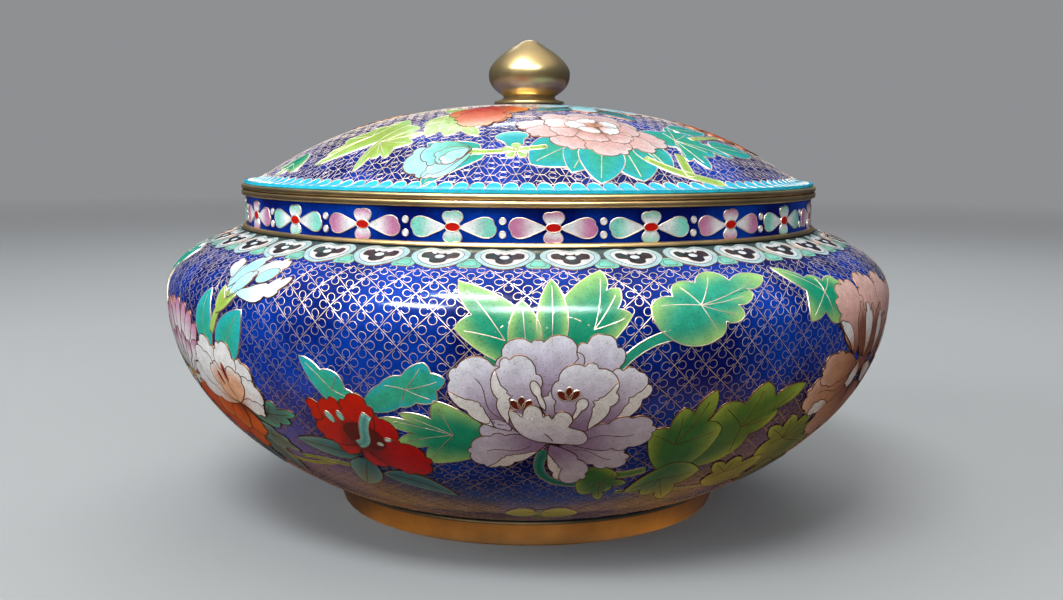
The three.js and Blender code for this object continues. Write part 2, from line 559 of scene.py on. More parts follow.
def toned_and_shaded_brass(name):
    """The knob's brass, bright above and darkened below as painted shade, with stains."""
    shader = Shader(name, Metallic=1.0)
    height = shader.node("SeparateXYZ")
    shader.link(shader.object, height.inputs["Vector"])
    dark_below = (KNOB_BASE + KNOB_HEIGHT * 0.3) * MM
    bright_above = (KNOB_BASE + KNOB_HEIGHT * 0.62) * MM
    share = shader.remapped(height.outputs["Z"], From_Min=dark_below, From_Max=bright_above)
    # Painted shade: from a dark bronze on the knob's lower part up to the bright brass above.
    umber = [tone * 0.5 for tone in colours().bronze]
    painted_shade_below = shader.bands(share, 0, 1, umber, colours().knob_brass)
    stains = shader.bands(shader.noise(120, 4), 0.35, 0.65, grey(0.6), WHITE)
    shader.colour(shader.product(painted_shade_below, stains))
    shader.roughness(shader.noise(220, 3), 0.62, 0.76)
    shader.bump(shader.noise(80, 3, (1, 1, 20)), distance=0.0002, strength=0.2)
    return shader.material


MATERIALS = {
    "cobalt_ground": ground_enamel,
    "tinted_cells": cell_enamel,
    "tinted_wire": wire_metal,
    "rim_brass": satin_brass,
    "knob_brass": toned_and_shaded_brass,
}


def find_material(name):
    """The material of that name, made on its first use."""
    return bpy.data.materials.get(name) or MATERIALS[name](name)


def leaf_metal(tints):
    """The darker leaves get dark bronze wires, a painted shade of the gilt wire."""
    return "bronze" if tints[0] in SHADE_WIRED_HEARTS else "gilt"


def blended(tints):
    """Shades a cell from the first of two tints at its roots to the second at its edge."""
    heart, rim = paint(*tints)
    return lambda spot, share: heart.lerp(rim, share * share)


def seat(base, tip, bow=0.0):
    """Puts a flat shape that grows along x from the origin between two points of a drawing."""
    base = Vector(base)
    ahead = Vector(tip) - base
    length = ahead.length
    ahead.normalize()
    side = left_of(ahead)

    def place(spot):
        along = spot[0] / length
        lean = bow * length * 4 * along * (1 - along)
        return base + ahead * spot[0] + side * (spot[1] + lean)

    return place, length


def petal_edge(length, width, lobes, scallop, waist, cleft=0.0):
    """A petal's outline from its base round to its left, with lobes and a cleft along its free edge.

    It runs through stops: places from -1 to 1 round the petal, and how far out the edge bulges there."""
    steps = max(6, round(20 / lobes))
    bounds = [lobe + 0.25 * math.sin(2.6 * lobe) for lobe in range(lobes)] + [lobes]
    stops = [(-1 + 0.06 * step, 1.0) for step in range(5)]
    for start, end in zip(bounds, bounds[1:]):
        for step in range(steps):
            share = start + (end - start) * step / steps
            stops.append((FREE_EDGE * (2 * share / lobes - 1), math.sin(math.pi * step / steps) ** 0.6))
    stops += [(FREE_EDGE, 0.0)] + [(1 - 0.06 * step, 1.0) for step in range(4, 0, -1)]
    turns = [math.pi * step / 40 for step in range(41)]
    peak = max(math.sin(turn) * ((1 - math.cos(turn)) / 2) ** waist for turn in turns)
    depth = scallop * (length + width) / lobes
    focus = Vector((0.55 * length, 0))
    edge = []
    for place, bump in stops:
        turn = math.pi * (1 + place)
        along = (1 - math.cos(turn)) / 2
        spot = Vector((length * along, -width / 2 * math.sin(turn) * along ** waist / peak))
        fade = min(1.0, max(0.0, 5 * (FREE_EDGE - abs(place))))
        drop = depth * (1 - bump) * fade + cleft * max(0.0, 1 - abs(place) / 0.35) ** 2
        edge.append(spot - (spot - focus).normalized() * drop)
    return edge


def smooth_loop(points, steps):
    """A smooth closed line through a few points."""
    line = []
    count = len(points)
    for index, here in enumerate(points):
        after = points[(index + 1) % count]
        pull = (after - points[index - 1]) / 6
        push = (here - points[(index + 2) % count]) / 6
        line += curve_points(here, pull, after, push, steps + 1)[:-1]
    return line


def mirrored_loop(half, steps):
    """A closed line that is the same on the left, from the points of its right half, from bottom to top."""
    right = [Vector(point) for point in half]
    left = [Vector((-point.x, point.y)) for point in right[-2:0:-1]]
    return smooth_loop(right + left, steps)


def lobed_edge(base, centre, tips, notch, bulge):
    """A leaf's outline with a lobe to each tip: its points, their roots and their shares of the way out."""
    bays = [here.lerp(after, 0.5).lerp(centre, notch) for here, after in zip(tips, tips[1:])]
    edge = []
    roots = []
    shares = []
    for tip, before, behind in zip(tips, [base] + bays, bays + [base]):
        for start, end, rising in ((before, tip, True), (tip, behind, False)):
            ahead = end - start
            side = Vector((ahead.y, -ahead.x)) * bulge
            steps = min(max(4, round(ahead.length / 3)), 9)
            line = curve_points(start, ahead * 0.3 + side, end, side - ahead * 0.3, steps + 1)
            for step in range(steps):
                share = step / steps if rising else 1 - step / steps
                edge.append(line[step])
                roots.append(centre.lerp(tip, 0.8 * share))
                shares.append(share)
    return edge, roots, shares


class Drawing:
    """Enamel cells and the wires round them, drawn flat and laid on a curved face.

    A spot on the bowl is (degrees round from the front, mm up from the widest ring). On the lid it is
    (mm to the right, mm away from the front), seen from above."""

    def __init__(self, face, step=CELL_STEP):
        self.face = face
        self.step = step
        self.across = math.radians(BELLY_RADIUS) if isinstance(face, BowlFace) else 1.0
        self.wire_width = ornament().wire / MM
        self.cells = bmesh.new()
        self.tint = self.cells.verts.layers.float_color.new(TINT)
        self.wires = bmesh.new()
        self.metal = self.wires.verts.layers.float_color.new(TINT)
        self.ridged = False
        self.outlines = []

    def height(self, layer):
        """How high a layer of the figures lies above the copper's face."""
        return FIGURE_LIFT + layer * LAYER

    def fill(self, edge, roots, shade, lift):
        """Fills a closed edge with enamel, in rings that shrink towards the root of each of its points."""
        count = len(edge)
        size = max((spot - root).length for spot, root in zip(edge, roots))
        steps = max(1, round(size / self.step))
        inset = max(0.5, 1 - CELL_MARGIN / size)
        levels = [(1.0, SUNK), (1.0, lift)]
        levels += [(inset * (1 - step / steps), lift) for step in range(steps + 1)]
        rows = len(levels) - 1
        grid = bmesh.ops.create_grid(self.cells, x_segments=count, y_segments=rows, size=1)["verts"]
        for index, vert in enumerate(grid):
            row, column = divmod(index, count + 1)
            share, height = levels[row]
            spot = column % count
            flat = roots[spot].lerp(edge[spot], share)
            vert.co = self.face(flat.x, flat.y, height)
            vert[self.tint] = (*shade(spot, share), 1)
        bmesh.ops.remove_doubles(self.cells, verts=grid, dist=JOIN)

    def wire(self, path, lift, closed=False, width=None, metal="gilt"):
        """A thin raised wire along a path, flat on top, or a plain ridge where it is part of a lattice."""
        half = (width or self.wire_width) / 2
        tone = (*paint(metal)[0], 1)
        count = len(path)
        columns = count + 1 if closed else count
        crest = lift + WIRE_RISE
        foot = lift - WIRE_FOOT
        flat = WIRE_TOP * half
        section = ((-half, SUNK if closed else foot), (-flat, crest), (flat, crest), (half, foot))
        if self.ridged:
            section = ((-half, foot), (0, crest), (half, foot))
        rows = len(section) - 1
        grid = bmesh.ops.create_grid(self.wires, x_segments=columns - 1, y_segments=rows, size=1)["verts"]
        for index, vert in enumerate(grid):
            row, column = divmod(index, columns)
            here = path[column % count]
            across, height = section[row]
            side = left_of(heading(path, column, closed)).normalized() * across
            vert.co = self.face(here.x + side.x, here.y + side.y, height)
            vert[self.metal] = tone
        if closed:
            bmesh.ops.remove_doubles(self.wires, verts=grid, dist=JOIN)

    def vein(self, line, layer, metal):
        """A finer wire that lies on a cell."""
        self.wire(line, self.height(layer), width=self.wire_width * VEIN_WIDTH, metal=metal)

    def spot(self, pair):
        """A spot of the drawing, in millimetres."""
        return Vector((pair[0] * self.across, pair[1]))

    def around(self, centre, size=1.0, turn=0.0, flip=1):
        """A function that puts millimetres about a flower's heart into the drawing."""
        middle = self.spot(centre)
        angle = math.radians(turn)

        def at(x, y):
            x *= flip
            right = x * math.cos(angle) - y * math.sin(angle)
            up = x * math.sin(angle) + y * math.cos(angle)
            spot = middle + Vector((right, up)) * size
            return spot.x / self.across, spot.y

        return at

    def cell(self, place, edge, roots, shade, layer, metal="gilt"):
        """One cell from its local outline, with its wire unless it has no metal."""
        lift = self.height(layer)
        flat_edge = [place(spot) for spot in edge]
        self.fill(flat_edge, [place(root) for root in roots], shade, lift)
        if metal:
            self.wire(flat_edge, lift, closed=True, metal=metal)
        self.outlines.append(flat_edge)

    def patch(self, edge, tints, layer=0, metal="gilt"):
        """A cell with a free outline, filled from its middle."""
        self.cell(unmoved, edge, [centroid(edge)] * len(edge), blended(tints), layer, metal)

    def petal(self, base, tip, width, tints, layer=0, lobes=5, scallop=0.2, waist=0.4, cleft=0.0, bow=0.0,
              fold=0, rim_reach=2.0, vein=False, blend=(0.0, 0.6), metal="bronze"):
        """A petal from its base to its tip. A fold shows the turned edge on its left (1) or right (-1)."""
        place, length = seat(self.spot(base), self.spot(tip), bow)
        heart, body, rim = paint(*tints[:3])
        edge = petal_edge(length, width, lobes, scallop, waist, cleft)
        focus = Vector((0.5 * length, 0))

        def shade(spot, share):
            along = focus.lerp(edge[spot], share).x / length
            tone = heart.lerp(body, smooth((along - blend[0]) / (blend[1] - blend[0])))
            return tone.lerp(rim, smooth(along * 1.8 - 0.8) * share ** rim_reach)

        self.cell(place, edge, [focus] * len(edge), shade, layer, metal)
        if fold:
            self.turned_edge(place, edge, length, tints[3], layer + 0.5, fold)
        if vein:
            line = [Vector((length * (0.2 + 0.05 * k), width * 0.07 * math.sin(k / 2))) for k in range(12)]
            self.vein([place(spot) for spot in line], layer, metal)

    def turned_edge(self, place, edge, length, tint, layer, fold):
        """The pale underside that shows where a petal's edge turns over."""
        focus = Vector((0.55 * length, 0))
        outer = [spot for spot in edge if spot.y * fold > 0 and 0.1 < spot.x / length < 0.84]
        inner = []
        for step, spot in enumerate(outer):
            share = step / (len(outer) - 1)
            wave = 1 - 0.24 * abs(math.sin(4 * math.pi * share)) ** 0.6
            inner.append(spot.lerp(focus, 0.8 * wave * math.sin(math.pi * share) ** 0.7))
        middle = [a.lerp(b, 0.5) for a, b in zip(outer, inner)]
        tone = paint(tint)[0]
        roots = middle + middle[::-1]
        self.cell(place, outer + inner[::-1], roots, lambda spot, share: tone, layer, "bronze")

    def leaf(self, base, tip, width, tints, layer=0, bow=0.0):
        """A plain pointed leaf with a wire for its midrib."""
        place, length = seat(self.spot(base), self.spot(tip), bow)
        heart, rim = paint(*tints)
        steps = 12
        side = []
        for step in range(steps + 1):
            share = step / steps
            swell = max(math.sin(math.pi * share ** 0.8), 0) ** 0.75
            side.append(Vector((length * share, width / 2 * swell)))
        edge = [Vector((spot.x, -spot.y)) for spot in side] + side[-2:0:-1]
        roots = [Vector((spot.x * 0.94, 0)) for spot in edge]

        def shade(spot, share):
            return heart.lerp(rim, smooth(0.75 * share * share + 0.6 * roots[spot].x / length - 0.15))

        metal = leaf_metal(tints)
        self.cell(place, edge, roots, shade, layer, metal)
        rib = [place(Vector((length * (0.04 + 0.05 * step), 0))) for step in range(18)]
        self.vein(rib, layer, metal)

    def spread_leaf(self, base, centre, tips, tints, layer=0, notch=0.45, bulge=0.16):
        """A leaf whose lobes spread from its centre to each of its tips, with a vein in each lobe."""
        base = self.spot(base)
        centre = self.spot(centre)
        tips = [self.spot(tip) for tip in tips]
        if runs_clockwise([base, *tips]):
            tips.reverse()
        heart, rim = paint(*tints)
        edge, roots, shares = lobed_edge(base, centre, tips, notch, bulge)

        def shade(spot, share):
            return heart.lerp(rim, smooth(0.5 * share * share + 0.95 * shares[spot] - 0.3))

        metal = leaf_metal(tints)
        self.cell(unmoved, edge, roots, shade, layer, metal)
        for tip in tips:
            bend = centre.lerp(tip, 0.5) + Vector((tip.y - centre.y, centre.x - tip.x)) * 0.05
            end = centre.lerp(tip, 0.8)
            line = curve_points(centre, (bend - centre) * 0.6, end, (bend - tip) * 0.4, 13)
            self.vein(line, layer, metal)

    def shape(self, spots, tints, layer):
        """A smooth cell through a few spots, shaded from its lower side to its upper side."""
        points = [self.spot(pair) for pair in spots]
        if runs_clockwise(points):
            points.reverse()
        edge = smooth_loop(points, 3)
        middle = centroid(edge)
        low = min(spot.y for spot in edge)
        tall = max(spot.y for spot in edge) - low
        heart, rim = paint(*tints)

        def shade(spot, share):
            return heart.lerp(rim, smooth(1.3 * (middle.lerp(edge[spot], share).y - low) / tall - 0.1))

        self.cell(unmoved, edge, [middle] * len(edge), shade, layer, "bronze")

    def oval(self, centre, long, wide, tints, layer=0, angle=0.0, metal="gilt"):
        """An oval cell, such as a flower's heart or a dot."""
        turn = math.radians(angle)
        reach_out = Vector((math.cos(turn), math.sin(turn))) * long / 2
        middle = self.spot(centre)
        place, length = seat(middle - reach_out, middle + reach_out)
        edge = petal_edge(length, wide, 1, 0, 0)
        focus = Vector((0.5 * length, 0))
        self.cell(place, edge, [focus] * len(edge), blended(tints), layer, metal)

    def stem(self, points, start_width, end_width, tints, layer=0):
        """A stalk along a cubic curve through four guide points."""
        start, near, far, end = (self.spot(pair) for pair in points)
        steps = 13
        line = curve_points(start, near - start, end, far - end, steps + 1)
        left = []
        right = []
        for index, spot in enumerate(line):
            side = left_of(heading(line, index)).normalized()
            half = (start_width + (end_width - start_width) * index / steps) / 2
            left.append(spot + side * half)
            right.append(spot - side * half)
        self.cell(unmoved, right + left[::-1], line + line[::-1], blended(tints), layer)

    def finish(self, name, slot):
        """Makes the cells and the wires into two pieces, and notes their outlines for the lattice."""
        for bm in (self.cells, self.wires):
            for face in bm.faces:
                face.smooth = True
        finished(name, self.cells, find_material("tinted_cells"), slot)
        finished(name + "_wires", self.wires, find_material("tinted_wire"), slot)
        COVERED.setdefault(slot, []).extend(self.outlines)


class Picture:
    """What the operators share that draw on the bowl or the lid. Each adds what draw_on() lays down."""

    face = BowlFace
    slot = "bowl_enamel"
    cell_step = CELL_STEP

    def execute(self, context):
        drawing = Drawing(self.face(), self.cell_step)
        self.draw_on(drawing)
        drawing.finish(self.piece, self.slot)
        return {"FINISHED"}


class BOWL_OT_vessel(bpy.types.Operator):
    """Turn the enamelled vessel, outside and inside"""

    bl_idname = "bowl.vessel"
    bl_label = "Vessel"

    def execute(self, context):
        below = lower_belly(CURVE_STEPS)
        outline = Outline(below + upper_belly(CURVE_STEPS)[1:])
        inside = [spot for spot in outline.moved(-WALL)[::3] if spot.y > BOWL_BASE + WALL]
        profile = [Vector((0, BOWL_BASE)), *outline.points, Vector((NECK_RADIUS, NECK_TOP))]
        profile += [Vector((NECK_RADIUS - WALL, NECK_TOP)), *inside[::-1], Vector((0, BOWL_BASE + WALL))]
        bm = turned(profile, TURNS, closed=False)
        finished("bowl_ground", bm, find_material("cobalt_ground"), "bowl_enamel", ["bowl"])
        return {"FINISHED"}


class BOWL_OT_rings(bpy.types.Operator):
    """Turn the brass foot ring, neck fillet and both rims"""

    bl_idname = "bowl.rings"
    bl_label = "Brass rings"

    foot_taper = 3.2
    foot_width = 8.0
    foot_heel = 1.2
    foot_shoulder = 2.0
    fillet = 1.7
    rounding = 1.0
    flange_inner = 137.2
    flange_outer = 139.4

    def ring(self, name, section, node):
        finished(name, turned(section, TURNS, True), find_material("rim_brass"), "brass", [node])

    def foot(self):
        heel = self.foot_heel
        shoulder = self.foot_shoulder
        inner = FOOT_RADIUS - self.foot_width
        section = arc((FOOT_RADIUS - self.foot_taper - heel, heel), heel, -90, -10, EDGE_STEPS)
        section += arc((FOOT_RADIUS - shoulder, FOOT_HEIGHT - shoulder), shoulder, -10, 90, 6)
        section += [Vector((inner, FOOT_HEIGHT)), Vector((inner, 0))]
        self.ring("brass_foot", section, "foot_ring")

    def lid_rim(self):
        """The rim of the lid, with the flange that centres it in the mouth."""
        low = top("mouth_rim") + SEAT_GAP
        high = top("lid_rim")
        soft = self.rounding
        hem = bottom("lid_rim")
        section = [Vector((self.flange_inner, hem)), Vector((self.flange_outer, hem))]
        section += [Vector((self.flange_outer, low))]
        section += arc((RIM_RADIUS - soft, low + soft), soft, -90, 0, EDGE_STEPS)
        section += arc((RIM_RADIUS - soft, high - soft), soft, 0, 90, EDGE_STEPS)
        section += [Vector((self.flange_inner, high))]
        self.ring("brass_lid_rim", section, "lid_rim")

    def execute(self, context):
        self.foot()
        low = bottom("neck_fillet")
        inner = reach("neck_fillet") - self.fillet
        fillet = [Vector((inner, low)), *arc((inner, low), self.fillet, 0, 90, 6)]
        self.ring("brass_fillet", fillet, "neck_fillet")
        low = bottom("mouth_rim")
        mouth = soft_ring(NECK_RADIUS - WALL, RIM_RADIUS, low, top("mouth_rim"), self.rounding)
        self.ring("brass_mouth_rim", mouth, "mouth_rim")
        self.lid_rim()
        return {"FINISHED"}


class BOWL_OT_lid(bpy.types.Operator):
    """Turn the enamelled lid"""

    bl_idname = "bowl.lid"
    bl_label = "Lid"

    def execute(self, context):
        outline = Outline(dome(CURVE_STEPS + CURVE_STEPS // 2 + 1))
        inside = [spot for spot in outline.moved(-WALL)[::3] if spot.y > LID_BASE + WALL / 2]
        inside[-1].x = 0
        edge = [Vector((LID_RADIUS - WALL, LID_BASE)), Vector((LID_RADIUS, LID_BASE))]
        bm = turned([*inside[::-1], *edge, *outline.points], TURNS, closed=False)
        finished("lid_ground", bm, find_material("cobalt_ground"), "lid_enamel", ["lid"])
        return {"FINISHED"}


class BOWL_OT_knob(bpy.types.Operator):
    """Turn the onion knob with its disc and waist"""

    bl_idname = "bowl.knob"
    bl_label = "Knob"

    waist = 13.0
    disc = 18.0

    def bulb(self, share_out, share_up):
        return Vector((KNOB_RADIUS * share_out, KNOB_BASE + KNOB_HEIGHT * share_up))

    def execute(self, context):
        disc = Vector((self.disc, KNOB_BASE))
        lip = arc((self.disc - 0.6, KNOB_BASE + 0.8), 0.6, 0, 90, 4)
        waist = curve_points(self.bulb(0.76, 0.055), (-2.0, 0.5), self.bulb(0.63, 0.11), (0, -0.8), 6)
        under = curve_points(self.bulb(0.63, 0.12), (3.8, 2.4), self.bulb(1, 0.47), (0, -6.2), 14)
        over = curve_points(self.bulb(1, 0.47), (0, 5.0), self.bulb(0.4, 0.89), (5.2, -2.9), 14)
        tip = curve_points(self.bulb(0.4, 0.89), (-2.4, 1.4), self.bulb(0, 1), (4.2, 0), 10)
        profile = [Vector((0, KNOB_BASE)), disc, *lip, *waist, *under, *over[1:], *tip[1:]]
        bm = turned(profile, KNOB_TURNS, closed=False)
        finished("brass_knob", bm, find_material("knob_brass"), "knob_brass", ["knob"])
        return {"FINISHED"}


# The outline of the folded petal in the middle of a peony, in millimetres from its heart.
PEONY_CUP = (
    (-15.8, 14.6), (-14, 8), (-10.5, 3.2), (-5.5, 0.4), (1, -1), (8, -1.8), (14.3, -2), (16.6, 1),
    (14.6, 4.6), (11, 6.2), (8.2, 7.4), (9.6, 10), (8.4, 13.2), (5.2, 14.6), (2.6, 13.4), (1.4, 11.2),
    (-0.2, 13.2), (-2.2, 12.2), (-2.8, 14.8), (-4.6, 16.8), (-7.6, 17.4), (-9.8, 15.2), (-10.6, 12),
    (-13, 14.4),
)


def peony(drawing, centre, size, tones, low_tones, turn=0.0, flip=1, layer=0):
    """A full peony seen from the side: petals that fan up, a cup before them and loose petals below."""
    at = drawing.around(centre, size, turn, flip)

    def petal(base, tip, width, place=0, fold=0, tints=tones, **details):
        details["cleft"] = details.get("cleft", 0) * size
        details.setdefault("blend", (0.08, 0.8))
        drawing.petal(at(*base), at(*tip), width * size, tints, layer + place, fold=fold * flip, **details)

    petal((-2, 14), (-5, 48), 34, lobes=7, waist=0.15, cleft=5)
    petal((15, 12), (20.8, 47), 21, lobes=5, waist=0.2, cleft=2)
    petal((20, 5), (36, 33), 20, 1, -1, lobes=5, cleft=3)
    petal((-15, 5), (-34, 35), 24, 1, 1, lobes=6, scallop=0.14, vein=True)
    petal((3, 8), (1.4, 24), 11, 2, lobes=3)
    petal((6, 8), (8.5, 20), 8, 3, lobes=2)
    petal((10, 2), (16.5, 34.5), 27, 4, -1, lobes=7)
    petal((-11, 4), (-13.4, 38), 20, 4, 1, lobes=6, waist=0.3)
    petal((-1, 3), (-28, 5), 13, 1, tints=low_tones, lobes=5)
    petal((0, -1), (-33.5, -9.5), 20, 2, 1, low_tones, lobes=8, vein=True)
    petal((5, -3), (37, -14.5), 15, 2, tints=low_tones, lobes=6, vein=True)
    petal((1, -2), (16, -27.5), 17, 4, -1, low_tones, lobes=6)
    petal((8, -1), (45.5, 4.5), 18, 5, tints=low_tones, lobes=7, vein=True)
    pale = (tones[3], tones[3], tones[3])
    petal((-1.4, 15), (-6.6, 27.6), 4.6, 6, tints=pale, lobes=1)
    petal((9.6, 10.5), (14, 20), 5.6, 6, tints=pale, lobes=1, waist=0.6)
    drawing.shape([at(*spot) for spot in PEONY_CUP], (tones[1], tones[3]), layer + 8)
    crease = [drawing.spot(at(0.6 * k - 1.5, 4 - 0.35 * k - 0.05 * k * k)) for k in range(7)]
    drawing.wire(crease, drawing.height(layer + 8), metal="bronze")
    stamen_reach = 3.4
    for x, y in ((-10.8, 15), (7.4, 19)):
        for lean in (-44, 2, 44):
            out = math.radians(lean)
            spot = at(x + stamen_reach * math.sin(out), y + stamen_reach * math.cos(out))
            angle = 90 + turn - lean * flip
            drawing.oval(spot, 5.2 * size, 3.0 * size, ("maroon", "maroon"), layer + 7, angle)


def fan(drawing, base, tips, width, tints, layer=0, **details):
    """Petals that spread from one base to several tips."""
    for index, tip in enumerate(tips):
        drawing.petal(base, tip, width, tints, layer + index % 2, **details)


def rosette(drawing, centre, reach_out, count, width, tints, layer=0, start=0.0, squash=1.0, **details):
    """Petals all round a heart."""
    at = drawing.around(centre)
    for step in range(count):
        angle = math.radians(start + 360 * step / count)
        x = math.cos(angle) * reach_out
        y = math.sin(angle) * reach_out * squash
        drawing.petal(at(x * 0.2, y * 0.2), at(x, y), width, tints, layer + step % 2, **details)


class BOWL_OT_neck_band(Picture, bpy.types.Operator):
    """Set pink and mint flowers round the neck, with white dots between them"""

    bl_idname = "bowl.neck_band"
    bl_label = "Neck band"

    piece = "neck_flowers"
    cell_step = 4.0
    middle = 60.3
    first = 4.2

    def flower(self, drawing, place, tip):
        middle = self.middle
        details = {"tints": ("milk", tip, tip), "lobes": 2, "scallop": 0.1, "metal": "gilt"}
        for hand in (-1, 1):
            base = (place + hand * 1.0, middle)
            drawing.petal(base, (place + hand * 7.4, middle), 8.4, waist=0.65, blend=(0.25, 0.8), **details)
        above = (place + 0.05, middle + 7.0)
        below = (place - 0.05, middle - 6.6)
        for end, width in ((above, 11), (below, 10)):
            drawing.petal((place, middle), end, width, layer=1, waist=0.3, blend=(0.2, 1.1), **details)
        drawing.oval((place, middle + 0.1), 8.0, 3.8, ("red", "red"), 2)

    def draw_on(self, drawing):
        count = ornament().neck_flowers
        pitch = 360 / count
        for index in range(count):
            place = self.first + pitch * index
            self.flower(drawing, place, "rose" if index % 2 == 0 else "mint")
            for rise in (-2.7, 2.7):
                drawing.oval((place + pitch / 2, self.middle + rise), 3.4, 2.7, ("milk", "milk"), 0)


class BOWL_OT_border(Picture, bpy.types.Operator):
    """Set cloud heads and mint scrolls round the shoulder"""

    bl_idname = "bowl.border"
    bl_label = "Cloud border"

    piece = "cloud_border"
    cell_step = 5.0
    middle = 42.0
    first = -3.3
    head = ((0, -10.3), (6.6, -8.4), (10.2, -6), (14.2, -1), (13.8, 4.6), (7.5, 8.4), (0, 6.4))
    trefoil = ((0, -6.4), (3.4, -5), (4.4, -2.4), (8.4, -1.4), (8.6, 2.6), (4, 3.4), (0, 1.8))
    scroll = ((0, -3.4), (4.6, -3.2), (5.6, -0.4), (3.2, 3.4), (0, 4))
    bands = ((head, 0.99, "cloud", "bronze"), (head, 0.78, "pearl", "bronze"), (head, 0.68, "milk", None),
             (trefoil, 1.02, "ink", "bronze"))

    def gap(self, drawing, place, half):
        """The shaded ground between two heads, with two scrolls on it, one in the other."""
        corners = ((0, -4), (half, 5), (half, 10.2), (-half, 10.2), (-half, 5))
        wedge = [Vector((place + x, self.middle + y)) for x, y in corners]
        drawing.patch(wedge, ("shade", "shade"), -3, None)
        for size, layer in ((1.0, -2), (0.62, -1)):
            shift = Vector((place, self.middle - 5.6))
            scroll = [spot * size + shift for spot in mirrored_loop(self.scroll, 2)]
            drawing.patch(scroll, ("mint", "mint"), layer, "bronze")

    def cloud(self, drawing, place):
        """A cloud head: bands of colour, one in the other, round a dark trefoil with three pale dots."""
        shift = Vector((place, self.middle))
        for layer, (half_loop, size, tint, metal) in enumerate(self.bands):
            loop = [spot * size + shift for spot in mirrored_loop(half_loop, 3)]
            drawing.patch(loop, (tint, tint), layer, metal)
        degrees = place / drawing.across
        drawing.oval((degrees, self.middle - 0.6), 4.6, 3.2, ("milk", "pearl"), 4, metal=None)
        for hand in (-1, 1):
            spot = (degrees + hand * 1.25, self.middle + 3.2)
            drawing.oval(spot, 3.6, 1.8, ("milk", "milk"), 4, hand * 40, metal=None)

    def draw_on(self, drawing):
        drawing.wire_width = ornament().fine_wire / MM
        count = ornament().border_heads
        pitch = 360 / count * drawing.across
        for index in range(count):
            place = self.first * drawing.across + pitch * index
            self.gap(drawing, place + pitch / 2, pitch / 2)
            self.cloud(drawing, place)


